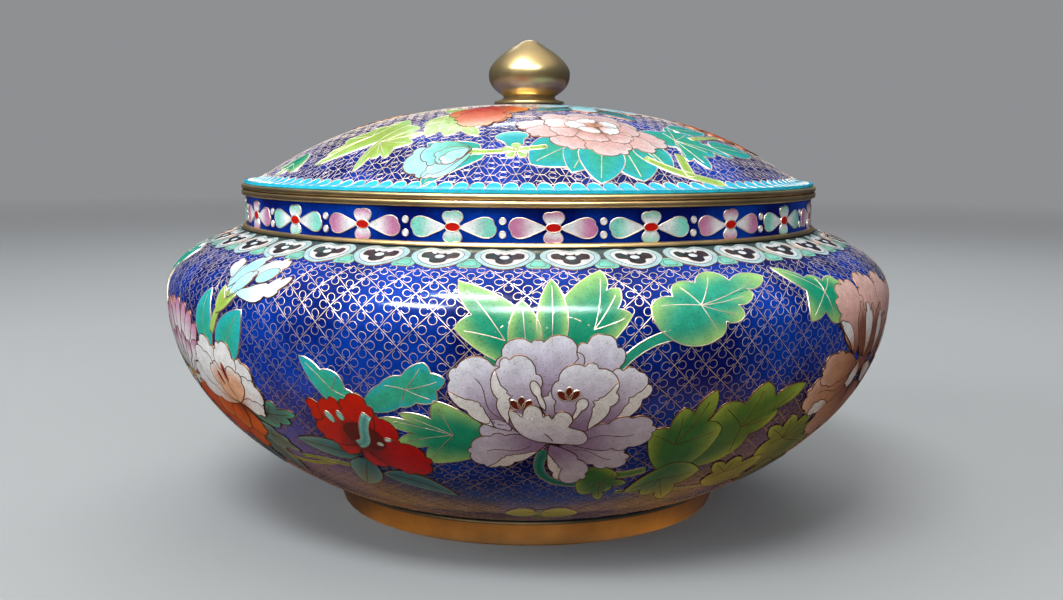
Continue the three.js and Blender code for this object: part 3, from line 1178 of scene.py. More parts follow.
class BOWL_OT_front_flowers(Picture, bpy.types.Operator):
    """Draw the large pale peony, the red flower and their leaves on the front"""

    bl_idname = "bowl.front_flowers"
    bl_label = "Front flowers"
    piece = "front_flowers"

    def leaves(self, drawing):
        behind = ("emerald", "emerald", "emerald")
        drawing.petal((2.4, -30), (2.2, 9), 46, behind, 0, 1, 0, 0.2, metal="gilt")
        drawing.spread_leaf((5, -14), (-2.5, -1), [(-8.8, 24), (-8.6, 3)], FRESH, 1, 0.35, 0.15)
        drawing.leaf((0.2, -10), (-0.6, 14.5), 13, FRESH, 2)
        drawing.leaf((3, -8), (3.2, 25.5), 12, FRESH, 2)
        drawing.spread_leaf((1, -14), (8, 3), [(12.8, 8), (11.8, 20), (10, 31.5)], FRESH, 1, 0.3, 0.16)
        drawing.stem([(10, -16), (12, -8), (14, -2), (17.6, 0)], 3.6, 4.2, ("sea", "sea"), 0)
        tips = [(24.4, -1.8), (28, 5.4), (30.4, 14.4), (34, 23.4), (25.6, 28), (19.4, 21.6), (15.3, 11.5)]
        drawing.spread_leaf((17, 0), (22, 11), tips, ("sea", "lime"), 1, 0.25, 0.22)
        tips = [(-11.5, -26), (-16.4, -33), (-19.4, -36), (-18, -49), (-14, -60)]
        drawing.spread_leaf((-3, -46), (-9.5, -42.5), tips, FRESH, 0, 0.42, 0.13)

    def stems(self, drawing):
        drawing.stem([(2.6, -50), (0, -66), (4, -77), (10.5, -75)], 5, 3.4, ("teal", "sea"), -2)
        drawing.stem([(13, -68), (15, -69), (16, -68), (18, -66)], 5, 5, DARK, -2)
        drawing.stem([(15, -84), (24, -88), (34, -91), (47, -90)], 2.6, 2.0, DARK, -2)
        tips = [(13.4, -66), (16, -76), (13.5, -82), (12.8, -92), (8.8, -84)]
        drawing.spread_leaf((8.5, -62), (11.5, -74), tips, DARK, -1, 0.3, 0.2)
        drawing.leaf((1.5, -106), (5.2, -120), 14, ("emerald", "olive"), 0)
        drawing.leaf((2, -107), (-4.2, -110), 14, SPRING, 1)
        drawing.leaf((3, -108), (10.6, -111), 16, SPRING, 1)

    def red_flower(self, drawing):
        tips = [(-29.8, -11.5), (-24.4, -17.5), (-21.6, -29)]
        drawing.spread_leaf((-23.6, -36), (-25.4, -25), tips, BLUE, 0, 0.2, 0.16)
        tips = [(-18.4, -20.5), (-12.4, -10.5), (-9.8, -17), (-11.2, -26.5), (-16, -30)]
        drawing.spread_leaf((-21.4, -32.5), (-15, -22), tips, BLUE, 0, 0.12, 0.16)
        drawing.leaf((-25, -60), (-36, -55), 12, SLATY, 0)
        drawing.leaf((-24, -62), (-28.5, -86), 17, SLATY, 0)
        drawing.leaf((-23, -72), (-11.5, -88), 13, SLATY, 0, bow=0.08)
        drawing.stem([(-25.5, -69), (-30, -70), (-34, -66), (-38.5, -69)], 3.2, 2.6, DARK, -1)
        tones = ("maroon", "red", "red")
        heart = (-23.6, -51)
        for tip, width, layer, lobes in (
            ((-30.2, -31), 13, 1, 3),
            ((-27.4, -28.5), 15, 2, 4),
            ((-22, -25.5), 17, 3, 5),
            ((-30, -43), 15, 3, 5),
            ((-28, -55), 14, 1, 4),
            ((-20, -63), 20, 1, 6),
            ((-13.6, -64), 22, 2, 6),
            ((-17.5, -40), 20, 1, 5),
        ):
            drawing.petal(heart, tip, width, tones, layer, lobes, waist=0.3)
        drawing.oval((-22.6, -47), 20, 14, ("maroon", "maroon"), 4, -25, metal=None)
        drawing.stem([(-24, -52), (-21.4, -50), (-23.2, -44), (-21, -35)], 4.6, 4.4, ("slate", "mint"), 5)
        drawing.oval((-27, -38), 6, 2.8, ("mint", "mint"), 5, 120)
        drawing.oval((-25.2, -36.8), 5, 2.6, ("mint", "mint"), 5, 110)
        drawing.oval((-19, -47.5), 3.4, 2, ("milk", "mint"), 5, 0)
        drawing.oval((-20.4, -50.5), 3, 1.8, ("milk", "mint"), 5, -15)

    def draw_on(self, drawing):
        self.leaves(drawing)
        self.stems(drawing)
        self.red_flower(drawing)
        upper = ("mauve", "lilac", "lavender", "milk")
        lower = ("mauve", "lilac", "lilac", "milk")
        peony(drawing, (2.8, -44), 1.0, upper, lower, layer=3)


class BOWL_OT_left_flowers(Picture, bpy.types.Operator):
    """Draw the white bud, the white peony, the orange flower and the pink daisy on the left"""

    bl_idname = "bowl.left_flowers"
    bl_label = "Left flowers"
    piece = "left_flowers"

    def bud(self, drawing):
        white = ("ice", "milk", "milk", "ice")
        drawing.stem([(-47.4, -8), (-46.8, -3), (-45.6, 1), (-44.6, 6)], 3.4, 3.4, SPRING, 1)
        drawing.spread_leaf((-45.6, 1), (-44, 7), [(-45.2, 13), (-43.4, 11.5), (-41.8, 10)], SPRING, 5)
        drawing.petal((-44, 7), (-43.4, 28), 12, ("ice", "ice", "ice"), 0, 2)
        drawing.petal((-45, 17), (-47.6, 29), 8, white, 1, 3)
        drawing.petal((-44.6, 12), (-41.6, 33.4), 10, ("ice", "ice", "pearl"), 2, 3)
        drawing.petal((-42, 21), (-35.4, 29.5), 12, white, 1, 5, 0.3, cleft=2)
        drawing.petal((-42.6, 11), (-33, 20), 9.5, white, 4, 5, 0.3, bow=-0.12)
        drawing.petal((-43.6, 8), (-40.4, 22), 8, ("ice", "ice", "pearl"), 5, 3)
        drawing.oval((-38, 20.6), 12, 8, ("ice", "ice"), 3, 30, "bronze")

    def half_white_flower(self, drawing):
        """A flower whose upper petals are white and whose lower ones are orange."""
        heart = (-45.2, -40)
        low = [(-58.5, -34), (-60.5, -43), (-58.5, -52), (-55, -62), (-50, -71), (-45.6, -60)]
        fan(drawing, heart, low, 17, ("maroon", "orange", "orange"), 1, lobes=5)
        fan(drawing, heart, [(-54, -48), (-50, -56)], 13, ("maroon", "orange", "amber"), 3, lobes=4)
        high = [(-56.5, -29), (-54, -18), (-51.5, -11), (-45.2, -10.5), (-40.6, -19), (-39, -30)]
        fan(drawing, heart, high, 17, ("peach", "milk", "milk"), 5, lobes=6, blend=(0.1, 0.7))
        drawing.petal((-44.6, -39), (-39.6, -42), 9, ("blush", "milk", "milk"), 7, 4)
        inner = [(-49.5, -22), (-43.4, -22)]
        fan(drawing, heart, inner, 13, ("peach", "peach", "milk"), 7, lobes=4, blend=(0.2, 0.9))
        drawing.oval((-46, -25), 9, 2.6, ("maroon", "red"), 9, 97)
        drawing.oval((-47.6, -28), 7, 2.2, ("maroon", "red"), 9, 108)

    def daisy(self, drawing):
        petals = ("pearl", "milk", "rose")
        base = (-60.4, -33)
        tips = [(-68, -18), (-69.5, -10), (-68.6, -3), (-66, 1), (-62.6, 3), (-59.4, 3), (-56.4, 1.5)]
        tips += [(-54, -1.5), (-52.4, -7), (-52.8, -15), (-54, -23)]
        fan(drawing, base, tips, 9.5, petals, 1, lobes=1, waist=0.6, rim_reach=0.6)
        inner = [(-64.6, -14), (-61.4, -11), (-58.4, -12), (-56.2, -16)]
        fan(drawing, base, inner, 8, petals, 3, lobes=1, waist=0.6, rim_reach=0.6)
        fan(drawing, base, [(-66, -36), (-63, -42), (-58.6, -42), (-55.6, -36)], 8, petals, 1, lobes=1)
        drawing.oval(base, 8, 6, ("amber", "moss"), 5)

    def draw_on(self, drawing):
        drawing.leaf((-49.4, -18), (-48.3, 11), 15, BLUE, 0, bow=0.07)
        drawing.leaf((-45.6, -22), (-40, 3.8), 17, BLUE, 0, bow=0.06)
        self.bud(drawing)
        tips = [(-41.4, -36), (-37.6, -35.6), (-33.4, -40.6), (-35.3, -46.5), (-39, -51)]
        drawing.spread_leaf((-44, -43), (-39.6, -43), tips, ("teal", "sea"), 0, 0.25, 0.16)
        tips = [(-41, -51), (-38.8, -58), (-38, -66), (-43.4, -68)]
        drawing.spread_leaf((-45.4, -50), (-42.4, -57), tips, SLATY, 0, 0.2, 0.15)
        drawing.leaf((-45.4, -58), (-44, -88), 17, SLATY, -1)
        drawing.leaf((-50, -66), (-54, -90), 18, SLATY, 0)
        drawing.stem([(-43, -72), (-39, -76), (-35, -72), (-30, -68)], 3, 2.4, DARK, -1)
        self.half_white_flower(drawing)
        self.daisy(drawing)
        tips = [(-69, 28), (-74, 33), (-83, 30), (-86, 20), (-78, 14)]
        drawing.spread_leaf((-70, 14), (-76, 22), tips, BLUE, 0, 0.35, 0.15)
        drawing.stem([(-66, -14), (-70, -6), (-72, 4), (-71, 16)], 3, 3, SPRING, 0)
        drawing.spread_leaf((-66, -36), (-73, -34), [(-76, -22), (-82, -32), (-77, -46)], DARK, 0)


class BOWL_OT_right_flowers(Picture, bpy.types.Operator):
    """Draw the salmon peony and the olive leaves on the right"""

    bl_idname = "bowl.right_flowers"
    bl_label = "Right flowers"
    piece = "right_flowers"

    def olive_leaves(self, drawing):
        tips = [(27.6, -43.4), (24.9, -23.4), (20.6, -30.8), (16.4, -42)]
        drawing.spread_leaf((22.4, -72), (20.8, -50), tips, DARK, 2, 0.3, 0.18)
        tips = [(16.4, -84), (20.6, -90), (26.4, -99), (28.2, -71)]
        drawing.spread_leaf((22, -62), (21.6, -75), tips, DARK, 3, 0.3, 0.16)
        tips = [(31.8, -62.5), (37, -41), (41, -26.4), (33, -22.6), (26.4, -31)]
        drawing.spread_leaf((24.5, -66), (31, -44), tips, DARK, 0, 0.3, 0.18)
        tips = [(54, -68), (51, -54), (46.8, -43.6), (41.4, -42.8), (37.4, -48), (38.4, -63)]
        drawing.spread_leaf((44, -80), (43, -58), tips, DARK, 0, 0.35, 0.2)
        tips = [(42, -70), (34.6, -65), (30.4, -67), (31.5, -84)]
        drawing.spread_leaf((40, -93), (35, -78), tips, DARK, 1, 0.35, 0.2)
        drawing.spread_leaf((44, -96), (50, -88), [(46, -76), (52, -76), (58, -84), (56, -98)], DARK, 1)
        drawing.stem([(40, -86), (50, -92), (60, -94), (72, -90)], 3, 2.4, DARK, -1)
        drawing.spread_leaf((66, -94), (74, -92), [(70, -80), (80, -80), (86, -92), (78, -106)], DARK, 0)

    def upper_petals(self, drawing):
        """Tall toothed petals over a brown heart, with slim white edges turned over between them."""
        pink = ("umber", "blush", "salmon", "milk")
        drawing.petal((61, -20), (72, 6), 24, pink, 0, 6, 0.3)
        drawing.petal((58, -18), (65.5, 15), 24, pink, 1, 7, 0.3)
        drawing.petal((54.5, -18), (57.5, 20), 24, pink, 2, 7, 0.32, cleft=2)
        drawing.petal((52.5, -18), (48, 17), 25, pink, 3, 8, 0.32, cleft=2)
        brown = ("umber", "umber", "blush")
        fan(drawing, (54.5, -20), [(52.4, 5), (57, 3)], 9, brown, 5, lobes=3)
        fan(drawing, (57, -22), [(61, 2), (64.5, -4)], 10, brown, 5, lobes=3)
        white = ("tawny", "milk", "milk")
        drawing.petal((56, -21), (54.4, 4), 9, white, 7, 3, bow=-0.1)
        drawing.petal((51.4, -17), (46.4, -1.6), 5.5, white, 7, 3, bow=-0.1)
        drawing.petal((60, -22), (60.6, -1), 8, white, 7, 3, bow=-0.1)
        drawing.petal((64, -26), (67, -8), 8, white, 7, 3, bow=-0.1)

    def lower_petals(self, drawing):
        tawny = ("umber", "tawny", "salmon", "milk")
        drawing.petal((57, -34), (62, -62), 30, tawny, 1, 7)
        drawing.petal((55, -34), (51, -62), 28, tawny, 2, 7)
        drawing.petal((62, -32), (74, -44), 24, tawny, 2, 6)
        drawing.petal((54.6, -32), (42, -35.4), 21, tawny, 4, 8, vein=True)
        drawing.petal((54.6, -24), (43.4, -22.4), 17, tawny, 5, 7, cleft=2)
        white = ("tawny", "milk", "milk")
        drawing.petal((50, -42), (44.8, -42), 9, white, 6, 4)
        drawing.petal((55, -22), (53.6, -35), 10, white, 7, 4, bow=0.1)
        drawing.petal((58, -26), (63, -34), 11, white, 6, 4)
        drawing.oval((56.4, -24), 14, 7, ("umber", "umber"), 6, 20, None)

    def draw_on(self, drawing):
        self.olive_leaves(drawing)
        tips = [(47.5, 19.5), (43.8, 20.8), (37, 28.2), (39.6, 0.6), (45, -1.8)]
        drawing.spread_leaf((51, 4), (44, 12), tips, FRESH, 0, 0.35, 0.12)
        self.upper_petals(drawing)
        self.lower_petals(drawing)


class BOWL_OT_back_flowers(Picture, bpy.types.Operator):
    """Draw plainer sprays of the same flowers and leaves on the back"""

    bl_idname = "bowl.back_flowers"
    bl_label = "Back flowers"
    piece = "back_flowers"

    def spray(self, drawing, place, size, tones, leaves, turn, flip):
        """A peony with leaves above, below and beside it."""
        reach_out = size * flip

        def spot(x, y):
            return place + x * reach_out, y * size - 22

        tips = [spot(-8, 42), spot(0, 40), spot(10, 44)]
        drawing.spread_leaf(spot(4, 10), spot(0, 24), tips, leaves, 0, 0.4)
        drawing.stem([spot(14, 0), spot(18, 8), spot(20, 14), spot(22, 18)], 3.6, 3.6, leaves, 0)
        tips = [spot(20, 34), spot(26, 40), spot(33, 36), spot(34, 22), spot(28, 12)]
        drawing.spread_leaf(spot(21, 16), spot(26, 26), tips, leaves, 1, 0.35, 0.18)
        tips = [spot(-14, -8), spot(-19, -14), spot(-21, -24), spot(-17, -36)]
        drawing.spread_leaf(spot(-6, -20), spot(-12, -20), tips, leaves, 0, 0.4)
        drawing.stem([spot(0, -28), spot(-3, -44), spot(2, -56), spot(10, -58)], 4.4, 3, leaves, 0)
        tips = [spot(14, -44), spot(19, -48), spot(20, -62), spot(14, -76)]
        drawing.spread_leaf(spot(8, -58), spot(14, -60), tips, DARK, 1, 0.4)
        drawing.leaf(spot(-2, -52), spot(-14, -62), 16, DARK, 0)
        peony(drawing, (place, -30), size, tones, tones, turn, flip, layer=3)

    def draw_on(self, drawing):
        self.spray(drawing, 104, 0.86, ("maroon", "red", "red", "orange"), FRESH, 8, 1)
        self.spray(drawing, 150, 0.98, ("mauve", "lilac", "lavender", "milk"), BLUE, -6, -1)
        self.spray(drawing, 202, 0.92, ("umber", "blush", "salmon", "milk"), FRESH, 5, 1)
        self.spray(drawing, 248, 0.84, ("maroon", "orange", "amber", "amber"), BLUE, -8, -1)
        for place in (127, 178, 225):
            rosette(drawing, (place, -70), 19, 11, 7, ("pearl", "milk", "rose"), 1, lobes=1, waist=0.2)
            drawing.oval((place, -70), 8, 7, ("amber", "moss"), 4)


class BOWL_OT_lid_scallops(Picture, bpy.types.Operator):
    """Set a row of cyan scallops round the lid's edge"""

    bl_idname = "bowl.lid_scallops"
    bl_label = "Lid scallops"
    piece = "lid_scallops"
    slot = "lid_enamel"
    face = LidFace
    cell_step = 5.0
    rim = 143.2
    bay = 137.6
    crest = 3.9
    band = 0.3

    def edge_band(self):
        """The cyan enamel that goes on down over the lid's edge."""
        outer = LID_RADIUS + self.band
        high = LID_BASE + LID_EDGE + self.band
        profile = [(self.rim - 1, LID_BASE), (outer, LID_BASE), (outer, high), (self.rim - 1, high)]
        bm = turned([Vector(spot) for spot in profile], TURNS, True)
        layer = bm.verts.layers.float_color.new(TINT)
        for vert in bm.verts:
            vert[layer] = (*paint("cyan")[0], 1)
        finished("lid_edge_band", bm, find_material("tinted_cells"), self.slot)

    def draw_on(self, drawing):
        count = ornament().lid_scallops
        half = math.pi / count
        for index in range(count):
            middle = 2 * math.pi * index / count
            edge = []
            for step in range(9):
                share = step / 4 - 1
                radius = self.bay - self.crest * math.sqrt(1 - share * share)
                edge.append((middle - share * half, radius))
            edge += [(middle - half, self.rim), (middle, self.rim), (middle + half, self.rim)]
            loop = [Vector((radius * math.sin(angle), -radius * math.cos(angle))) for angle, radius in edge]
            drawing.patch(loop, ("cyan", "cyan"), 0)

    def execute(self, context):
        done = super().execute(context)
        self.edge_band()
        return done


class BOWL_OT_lid_flowers(Picture, bpy.types.Operator):
    """Draw the flowers and leaves of the lid"""

    bl_idname = "bowl.lid_flowers"
    bl_label = "Lid flowers"
    piece = "lid_flowers"
    slot = "lid_enamel"
    face = LidFace

    def left_leaves(self, drawing):
        near = [(-76, -104), (-66, -98), (-62, -101), (-51, -93), (-46, -84), (-49, -74)]
        drawing.spread_leaf((-56, -66), (-66, -82), near, SPRING, 1, 0.25, 0.12)
        far = [(-97, -80), (-92, -73), (-84, -60), (-70, -55), (-57, -52)]
        drawing.spread_leaf((-56, -76), (-72, -69), far, SPRING, 0, 0.25, 0.12)
        drawing.spread_leaf((-104, -52), (-110, -58), [(-107, -73), (-119, -62), (-118, -50)], FRESH, 0)

    def orange_flower(self, drawing):
        tones = ("red", "orange", "amber", "peach")
        drawing.leaf((-34, -56), (-45, -89), 14, SPRING, 0)
        drawing.spread_leaf((-33, -52), (-31, -72), [(-37, -92), (-22, -96), (-21, -84)], SPRING, 1, 0.3)
        drawing.leaf((-32, -58), (-48, -71), 11, SPRING, 0)
        drawing.leaf((-30, -52), (-39, -38), 11, SPRING, 0)
        drawing.petal((-18, -40), (-24, -85), 24, tones, 4, 6)
        drawing.petal((-16, -40), (-33, -66), 20, tones, 3, 6)
        drawing.petal((-18, -38), (-14, -80), 16, tones, 2, 5)
        drawing.petal((-18, -38), (-3.5, -60), 18, tones, 1, 6)

    def bud(self, drawing):
        drawing.leaf((-18, -113), (-44, -131), 15, BLUE, 0, bow=-0.2)
        drawing.leaf((-20, -108), (-44, -97), 15, BLUE, 0, bow=0.15)
        drawing.petal((-24, -109), (-53, -113), 25, ("mint", "ice", "ice"), 1, 5, 0.2)
        drawing.petal((-24, -112), (-44, -124), 12, ("mint", "ice", "milk"), 1, 3, 0.16)
        drawing.petal((-24, -108), (-46, -107), 20, ("sea", "mint", "ice"), 2, 5, 0.2)
        drawing.petal((-24, -108), (-40, -113), 13, ("mint", "mint", "ice"), 3, 4, 0.2)
        drawing.petal((-25, -108), (-37, -116), 9, ("ice", "ice", "milk"), 4, 4, 0.2)
        drawing.stem([(-25, -110), (-16, -113), (-6, -112), (8, -108)], 3, 3, SPRING, 1)
        rosette(drawing, (-5, -112), 6, 5, 4.5, ("moss", "lime", "lime"), 3, 20, lobes=1, metal="gilt")
        drawing.petal((-5, -110), (-8, -94), 17, ("sea", "turquoise", "mint"), 2, 1, metal="gilt")

    def peony_leaves(self, drawing):
        drawing.leaf((24, -100), (1, -122), 26, BLUE, 0)
        drawing.leaf((28, -98), (18, -126), 17, BLUE, 1)
        drawing.leaf((32, -98), (30, -131), 20, BLUE, 2)
        drawing.leaf((40, -98), (48, -124), 24, BLUE, 1)
        drawing.leaf((48, -92), (61, -111), 17, BLUE, 1)
        tips = [(60, -70), (64, -58), (74, -60), (94, -72), (84, -80), (80, -97), (70, -97), (66, -86)]
        drawing.spread_leaf((46, -86), (66, -78), tips, BLUE, 0, 0.25, 0.16)
        drawing.leaf((66, -60), (84, -41), 14, BLUE, 0)
        drawing.leaf((84, -68), (106, -47), 15, BLUE, 0)
        drawing.stem([(50, -106), (60, -112), (72, -110), (84, -107)], 4, 5, SPRING, 2)
        drawing.stem([(70, -110), (68, -106), (67, -100), (66, -94)], 5, 4, SPRING, 2)
        drawing.stem([(74, -68), (80, -62), (84, -52), (91, -42)], 3, 2.6, SPRING, 1)

    def pink_peony(self, drawing):
        outer = ("umber", "blush", "rosy", "milk")
        centre = (27, -85)
        tips = [(-6, -86, 16), (-1, -96, 14), (14, -108, 20), (38, -110, 22), (62, -88, 17)]
        tips += [(56, -98, 14), (48, -72, 16), (36, -62, 17), (22, -61, 16), (6, -68, 15)]
        for index, (x, y, width) in enumerate(tips):
            drawing.petal(centre, (x, y), width, outer, 3 + index % 2, 6, waist=0.5)
        rosette(drawing, (28, -84), 22, 7, 15, outer, 5, 12, squash=0.75, lobes=6)
        rosette(drawing, (29, -82), 13, 5, 11, ("blush", "milk", "milk"), 7, 40, squash=0.75, lobes=5)
        drawing.oval((29, -81), 8, 5, ("umber", "peach"), 9, 0, "bronze")

    def back_flowers(self, drawing):
        """The far half of the lid, which is plainer: one flower and two sprays of leaves."""
        drawing.petal((24, -26), (2, -44), 14, ("ice", "ice", "milk"), 2, 3)
        drawing.petal((26, -28), (55, -36), 15, ("ice", "ice", "milk"), 2, 4)
        drawing.petal((26, -28), (26, -54), 15, ("mint", "ice", "milk"), 3, 4)
        drawing.leaf((22, -36), (4, -58), 14, ("teal", "turquoise"), 0)
        drawing.leaf((32, -40), (50, -58), 14, ("teal", "turquoise"), 0)
        warm = ("red", "orange", "amber", "peach")
        rosette(drawing, (94, -16), 22, 7, 16, warm, 3, 10, lobes=4)
        rosette(drawing, (94, -16), 12, 5, 11, warm, 5, 40, lobes=3)
        drawing.spread_leaf((84, 6), (78, 18), [(64, 16), (70, 34), (86, 36)], BLUE, 0)
        pink = ("umber", "blush", "milk", "milk")
        rosette(drawing, (-20, 84), 34, 9, 22, pink, 3, 0, lobes=4)
        rosette(drawing, (-20, 84), 21, 7, 15, pink, 5, 20, lobes=4)
        rosette(drawing, (-20, 84), 11, 5, 10, ("blush", "milk", "milk"), 7, 0, lobes=3)
        drawing.oval((-20, 84), 6, 6, ("umber", "amber"), 9)
        for angle in (-20, 30, 80, 140, 195):
            turn = math.radians(angle)
            x = math.cos(turn)
            y = math.sin(turn)
            drawing.leaf((-20 + 28 * x, 84 + 28 * y), (-20 + 47 * x, 84 + 47 * y), 18, BLUE, 1)
        lilac = ("mauve", "lilac", "pearl", "milk")
        rosette(drawing, (72, 76), 22, 8, 14, lilac, 3, 10, lobes=3)
        rosette(drawing, (72, 76), 12, 6, 9, lilac, 5, 30, lobes=3)
        drawing.oval((72, 76), 6, 6, ("maroon", "amber"), 7)
        drawing.stem([(12, 92), (30, 104), (44, 98), (52, 86)], 3.4, 3, SPRING, 1)
        drawing.spread_leaf((34, 100), (38, 108), [(24, 116), (38, 124), (52, 114)], FRESH, 2)
        drawing.spread_leaf((-84, 20), (-94, 26), [(-84, 44), (-104, 44), (-116, 26), (-106, 8)], FRESH, 0)
        rosette(drawing, (-76, 4), 18, 8, 12, ("ice", "ice", "milk"), 3, 0, lobes=3)
        drawing.oval((-76, 4), 7, 7, ("amber", "moss"), 6)

    def draw_on(self, drawing):
        self.left_leaves(drawing)
        self.orange_flower(drawing)
        self.bud(drawing)
        self.peony_leaves(drawing)
        self.pink_peony(drawing)
        self.back_flowers(drawing)


# A lattice's wires have three lines of points. They sway by up to so many millimetres over such a length.
RIDGE_LINES = 3
SWAY = 0.9
SWAY_LENGTH = 16


class FlatFace:
    """A flat face, for the unit that a lattice repeats."""

    def __call__(self, x, y, lift):
        return Vector((x, y, lift))


def repeated(unit, counts, pitches):
    """The unit's wires repeated in rows and columns, as one flat bmesh."""
    mesh = bpy.data.meshes.new("lattice_unit")
    unit.wires.to_mesh(mesh)
    piece = bpy.data.objects.new("lattice_unit", mesh)
    bpy.context.scene.collection.objects.link(piece)
    for count, offset in zip(counts, ((pitches[0], 0, 0), (0, pitches[1], 0))):
        rows = piece.modifiers.new("rows", "ARRAY")
        rows.count = count
        rows.use_relative_offset = False
        rows.use_constant_offset = True
        rows.constant_offset_displace = offset
    sheet = bmesh.new()
    sheet.from_object(piece, bpy.context.evaluated_depsgraph_get())
    bpy.data.objects.remove(piece)
    bpy.data.meshes.remove(mesh)
    return sheet


def hidden_by(boxes, spot):
    """Whether a spot lies under one of the figures."""
    for low, high, outline in boxes:
        if low.x < spot.x < high.x and low.y < spot.y < high.y and inside(outline, spot):
            return True
    return False


def inside(outline, spot):
    """Whether a spot lies inside a closed outline, by counting the edges to its right."""
    within = False
    before = outline[-1]
    for here in outline:
        if (here.y > spot.y) != (before.y > spot.y):
            along = (here.x - before.x) * (spot.y - before.y) / (here.y - before.y)
            if spot.x < before.x + along:
                within = not within
        before = here
    return within


def boxed(outlines, shifts):
    """The outlines with the corners of their boxes, also where they come round again."""
    boxes = []
    for outline in outlines:
        for shift in shifts:
            moved = [spot + Vector((shift, 0)) for spot in outline]
            low = Vector((min(spot.x for spot in moved), min(spot.y for spot in moved)))
            high = Vector((max(spot.x for spot in moved), max(spot.y for spot in moved)))
            boxes.append((low, high, moved))
    return boxes


def lay_lattice(name, sheet, points, face, boxes, keep, slot, place=unmoved):
    """Takes out the sheet's wires that figures hide and lays the rest on a face.

    Each wire runs through as many points as points says. keep tells whether a spot of the sheet is wanted,
    and place puts it into the face's drawing."""
    verts = list(sheet.verts)
    run = RIDGE_LINES * points
    hidden = []
    for start in range(0, len(verts), run):
        wire = verts[start:start + run]
        spots = [vert.co.xy for vert in wire[::3]]
        if not keep(spots[len(spots) // 2]) or all(hidden_by(boxes, place(spot)) for spot in spots):
            hidden += wire
    bmesh.ops.delete(sheet, geom=hidden, context="VERTS")
    for vert in sheet.verts:
        x, y, lift = vert.co
        sway = noise.noise(Vector((x, y, 0)) / SWAY_LENGTH) * SWAY
        lean = noise.noise(Vector((x, y, 50)) / SWAY_LENGTH) * SWAY
        spot = place(Vector((x + sway, y + lean)))
        vert.co = face(spot.x, spot.y, lift)
    for part in sheet.faces:
        part.smooth = True
    finished(name, sheet, find_material("tinted_wire"), slot)


def flat_unit(width=1.0):
    """An empty flat drawing for a lattice, whose wires are a share of the ground's wire in width."""
    unit = Drawing(FlatFace())
    unit.ridged = True
    unit.wire_width = ornament().fine_wire / MM * width
    return unit


def open_loop(centre, radius, towards, steps):
    """A small wire loop that is open on the side that it is bent from."""
    gap = 22
    points = []
    for step in range(steps + 1):
        angle = towards + math.radians(gap + (360 - 2 * gap) * step / steps)
        points.append(Vector(centre) + radius * Vector((math.cos(angle), math.sin(angle))))
    return points


class BOWL_OT_bowl_lattice(bpy.types.Operator):
    """Lay the bowl's lattice of diamonds with four loops at each crossing"""

    bl_idname = "bowl.bowl_lattice"
    bl_label = "Bowl lattice"

    low = -128.0
    high = 33.0
    loop_radius = 1.75
    loop_reach = 3.4
    loop_wire = 0.75
    loop_steps = 9
    line_steps = 4
    seams = (-227, -133, -47, 47, 133, 227)

    def gore(self, x):
        """The middle and the half width, in mm, of the part of the lattice that a place lies in."""
        across = math.radians(BELLY_RADIUS)
        for start, end in zip(self.seams, self.seams[1:]):
            if x < end * across:
                return (start + end) / 2 * across, (end - start) / 2 * across

    def execute(self, context):
        columns = ornament().bowl_cells
        around = 2 * math.pi * BELLY_RADIUS
        wide = around / columns
        tall = ornament().bowl_cell_height / MM
        rows = math.ceil((self.high - self.low) / tall)
        face = BowlFace()
        boxes = boxed(COVERED.get("bowl_enamel", []), (-around, 0, around))

        def keep(spot):
            middle, half = self.gore(spot.x)
            within = abs(spot.x - middle) < half * face.radius(spot.y) / BELLY_RADIUS
            return within and self.low < spot.y < self.high

        def place(spot):
            middle, half = self.gore(spot.x)
            return Vector((middle + (spot.x - middle) * BELLY_RADIUS / face.radius(spot.y), spot.y))

        corner = Vector((-around / 2, self.low))
        lines = flat_unit()
        for side in (-1, 1):
            for end in (-1, 1):
                far = corner + Vector((side * wide / 2, end * tall / 2))
                shares = [step / self.line_steps for step in range(self.line_steps + 1)]
                lines.wire([corner.lerp(far, share) for share in shares], LATTICE_LIFT)

        loops = flat_unit(self.loop_wire)
        for crossing in (corner, corner + Vector((wide / 2, tall / 2))):
            for side in (-1, 1):
                out = side * self.loop_reach
                turn = math.pi if side > 0 else 0
                for shift, bend in (((out, 0), 0), ((0, out), math.pi / 2)):
                    centre = crossing + Vector(shift)
                    loop = open_loop(centre, self.loop_radius, turn + bend, self.loop_steps)
                    loops.wire(loop, LATTICE_LIFT)

        for name, unit, steps in (
            ("bowl_lattice", lines, self.line_steps),
            ("bowl_lattice_loops", loops, self.loop_steps),
        ):
            sheet = repeated(unit, (columns, rows), (wide, tall))
            lay_lattice(name, sheet, steps + 1, face, boxes, keep, "bowl_enamel", place)
        return {"FINISHED"}


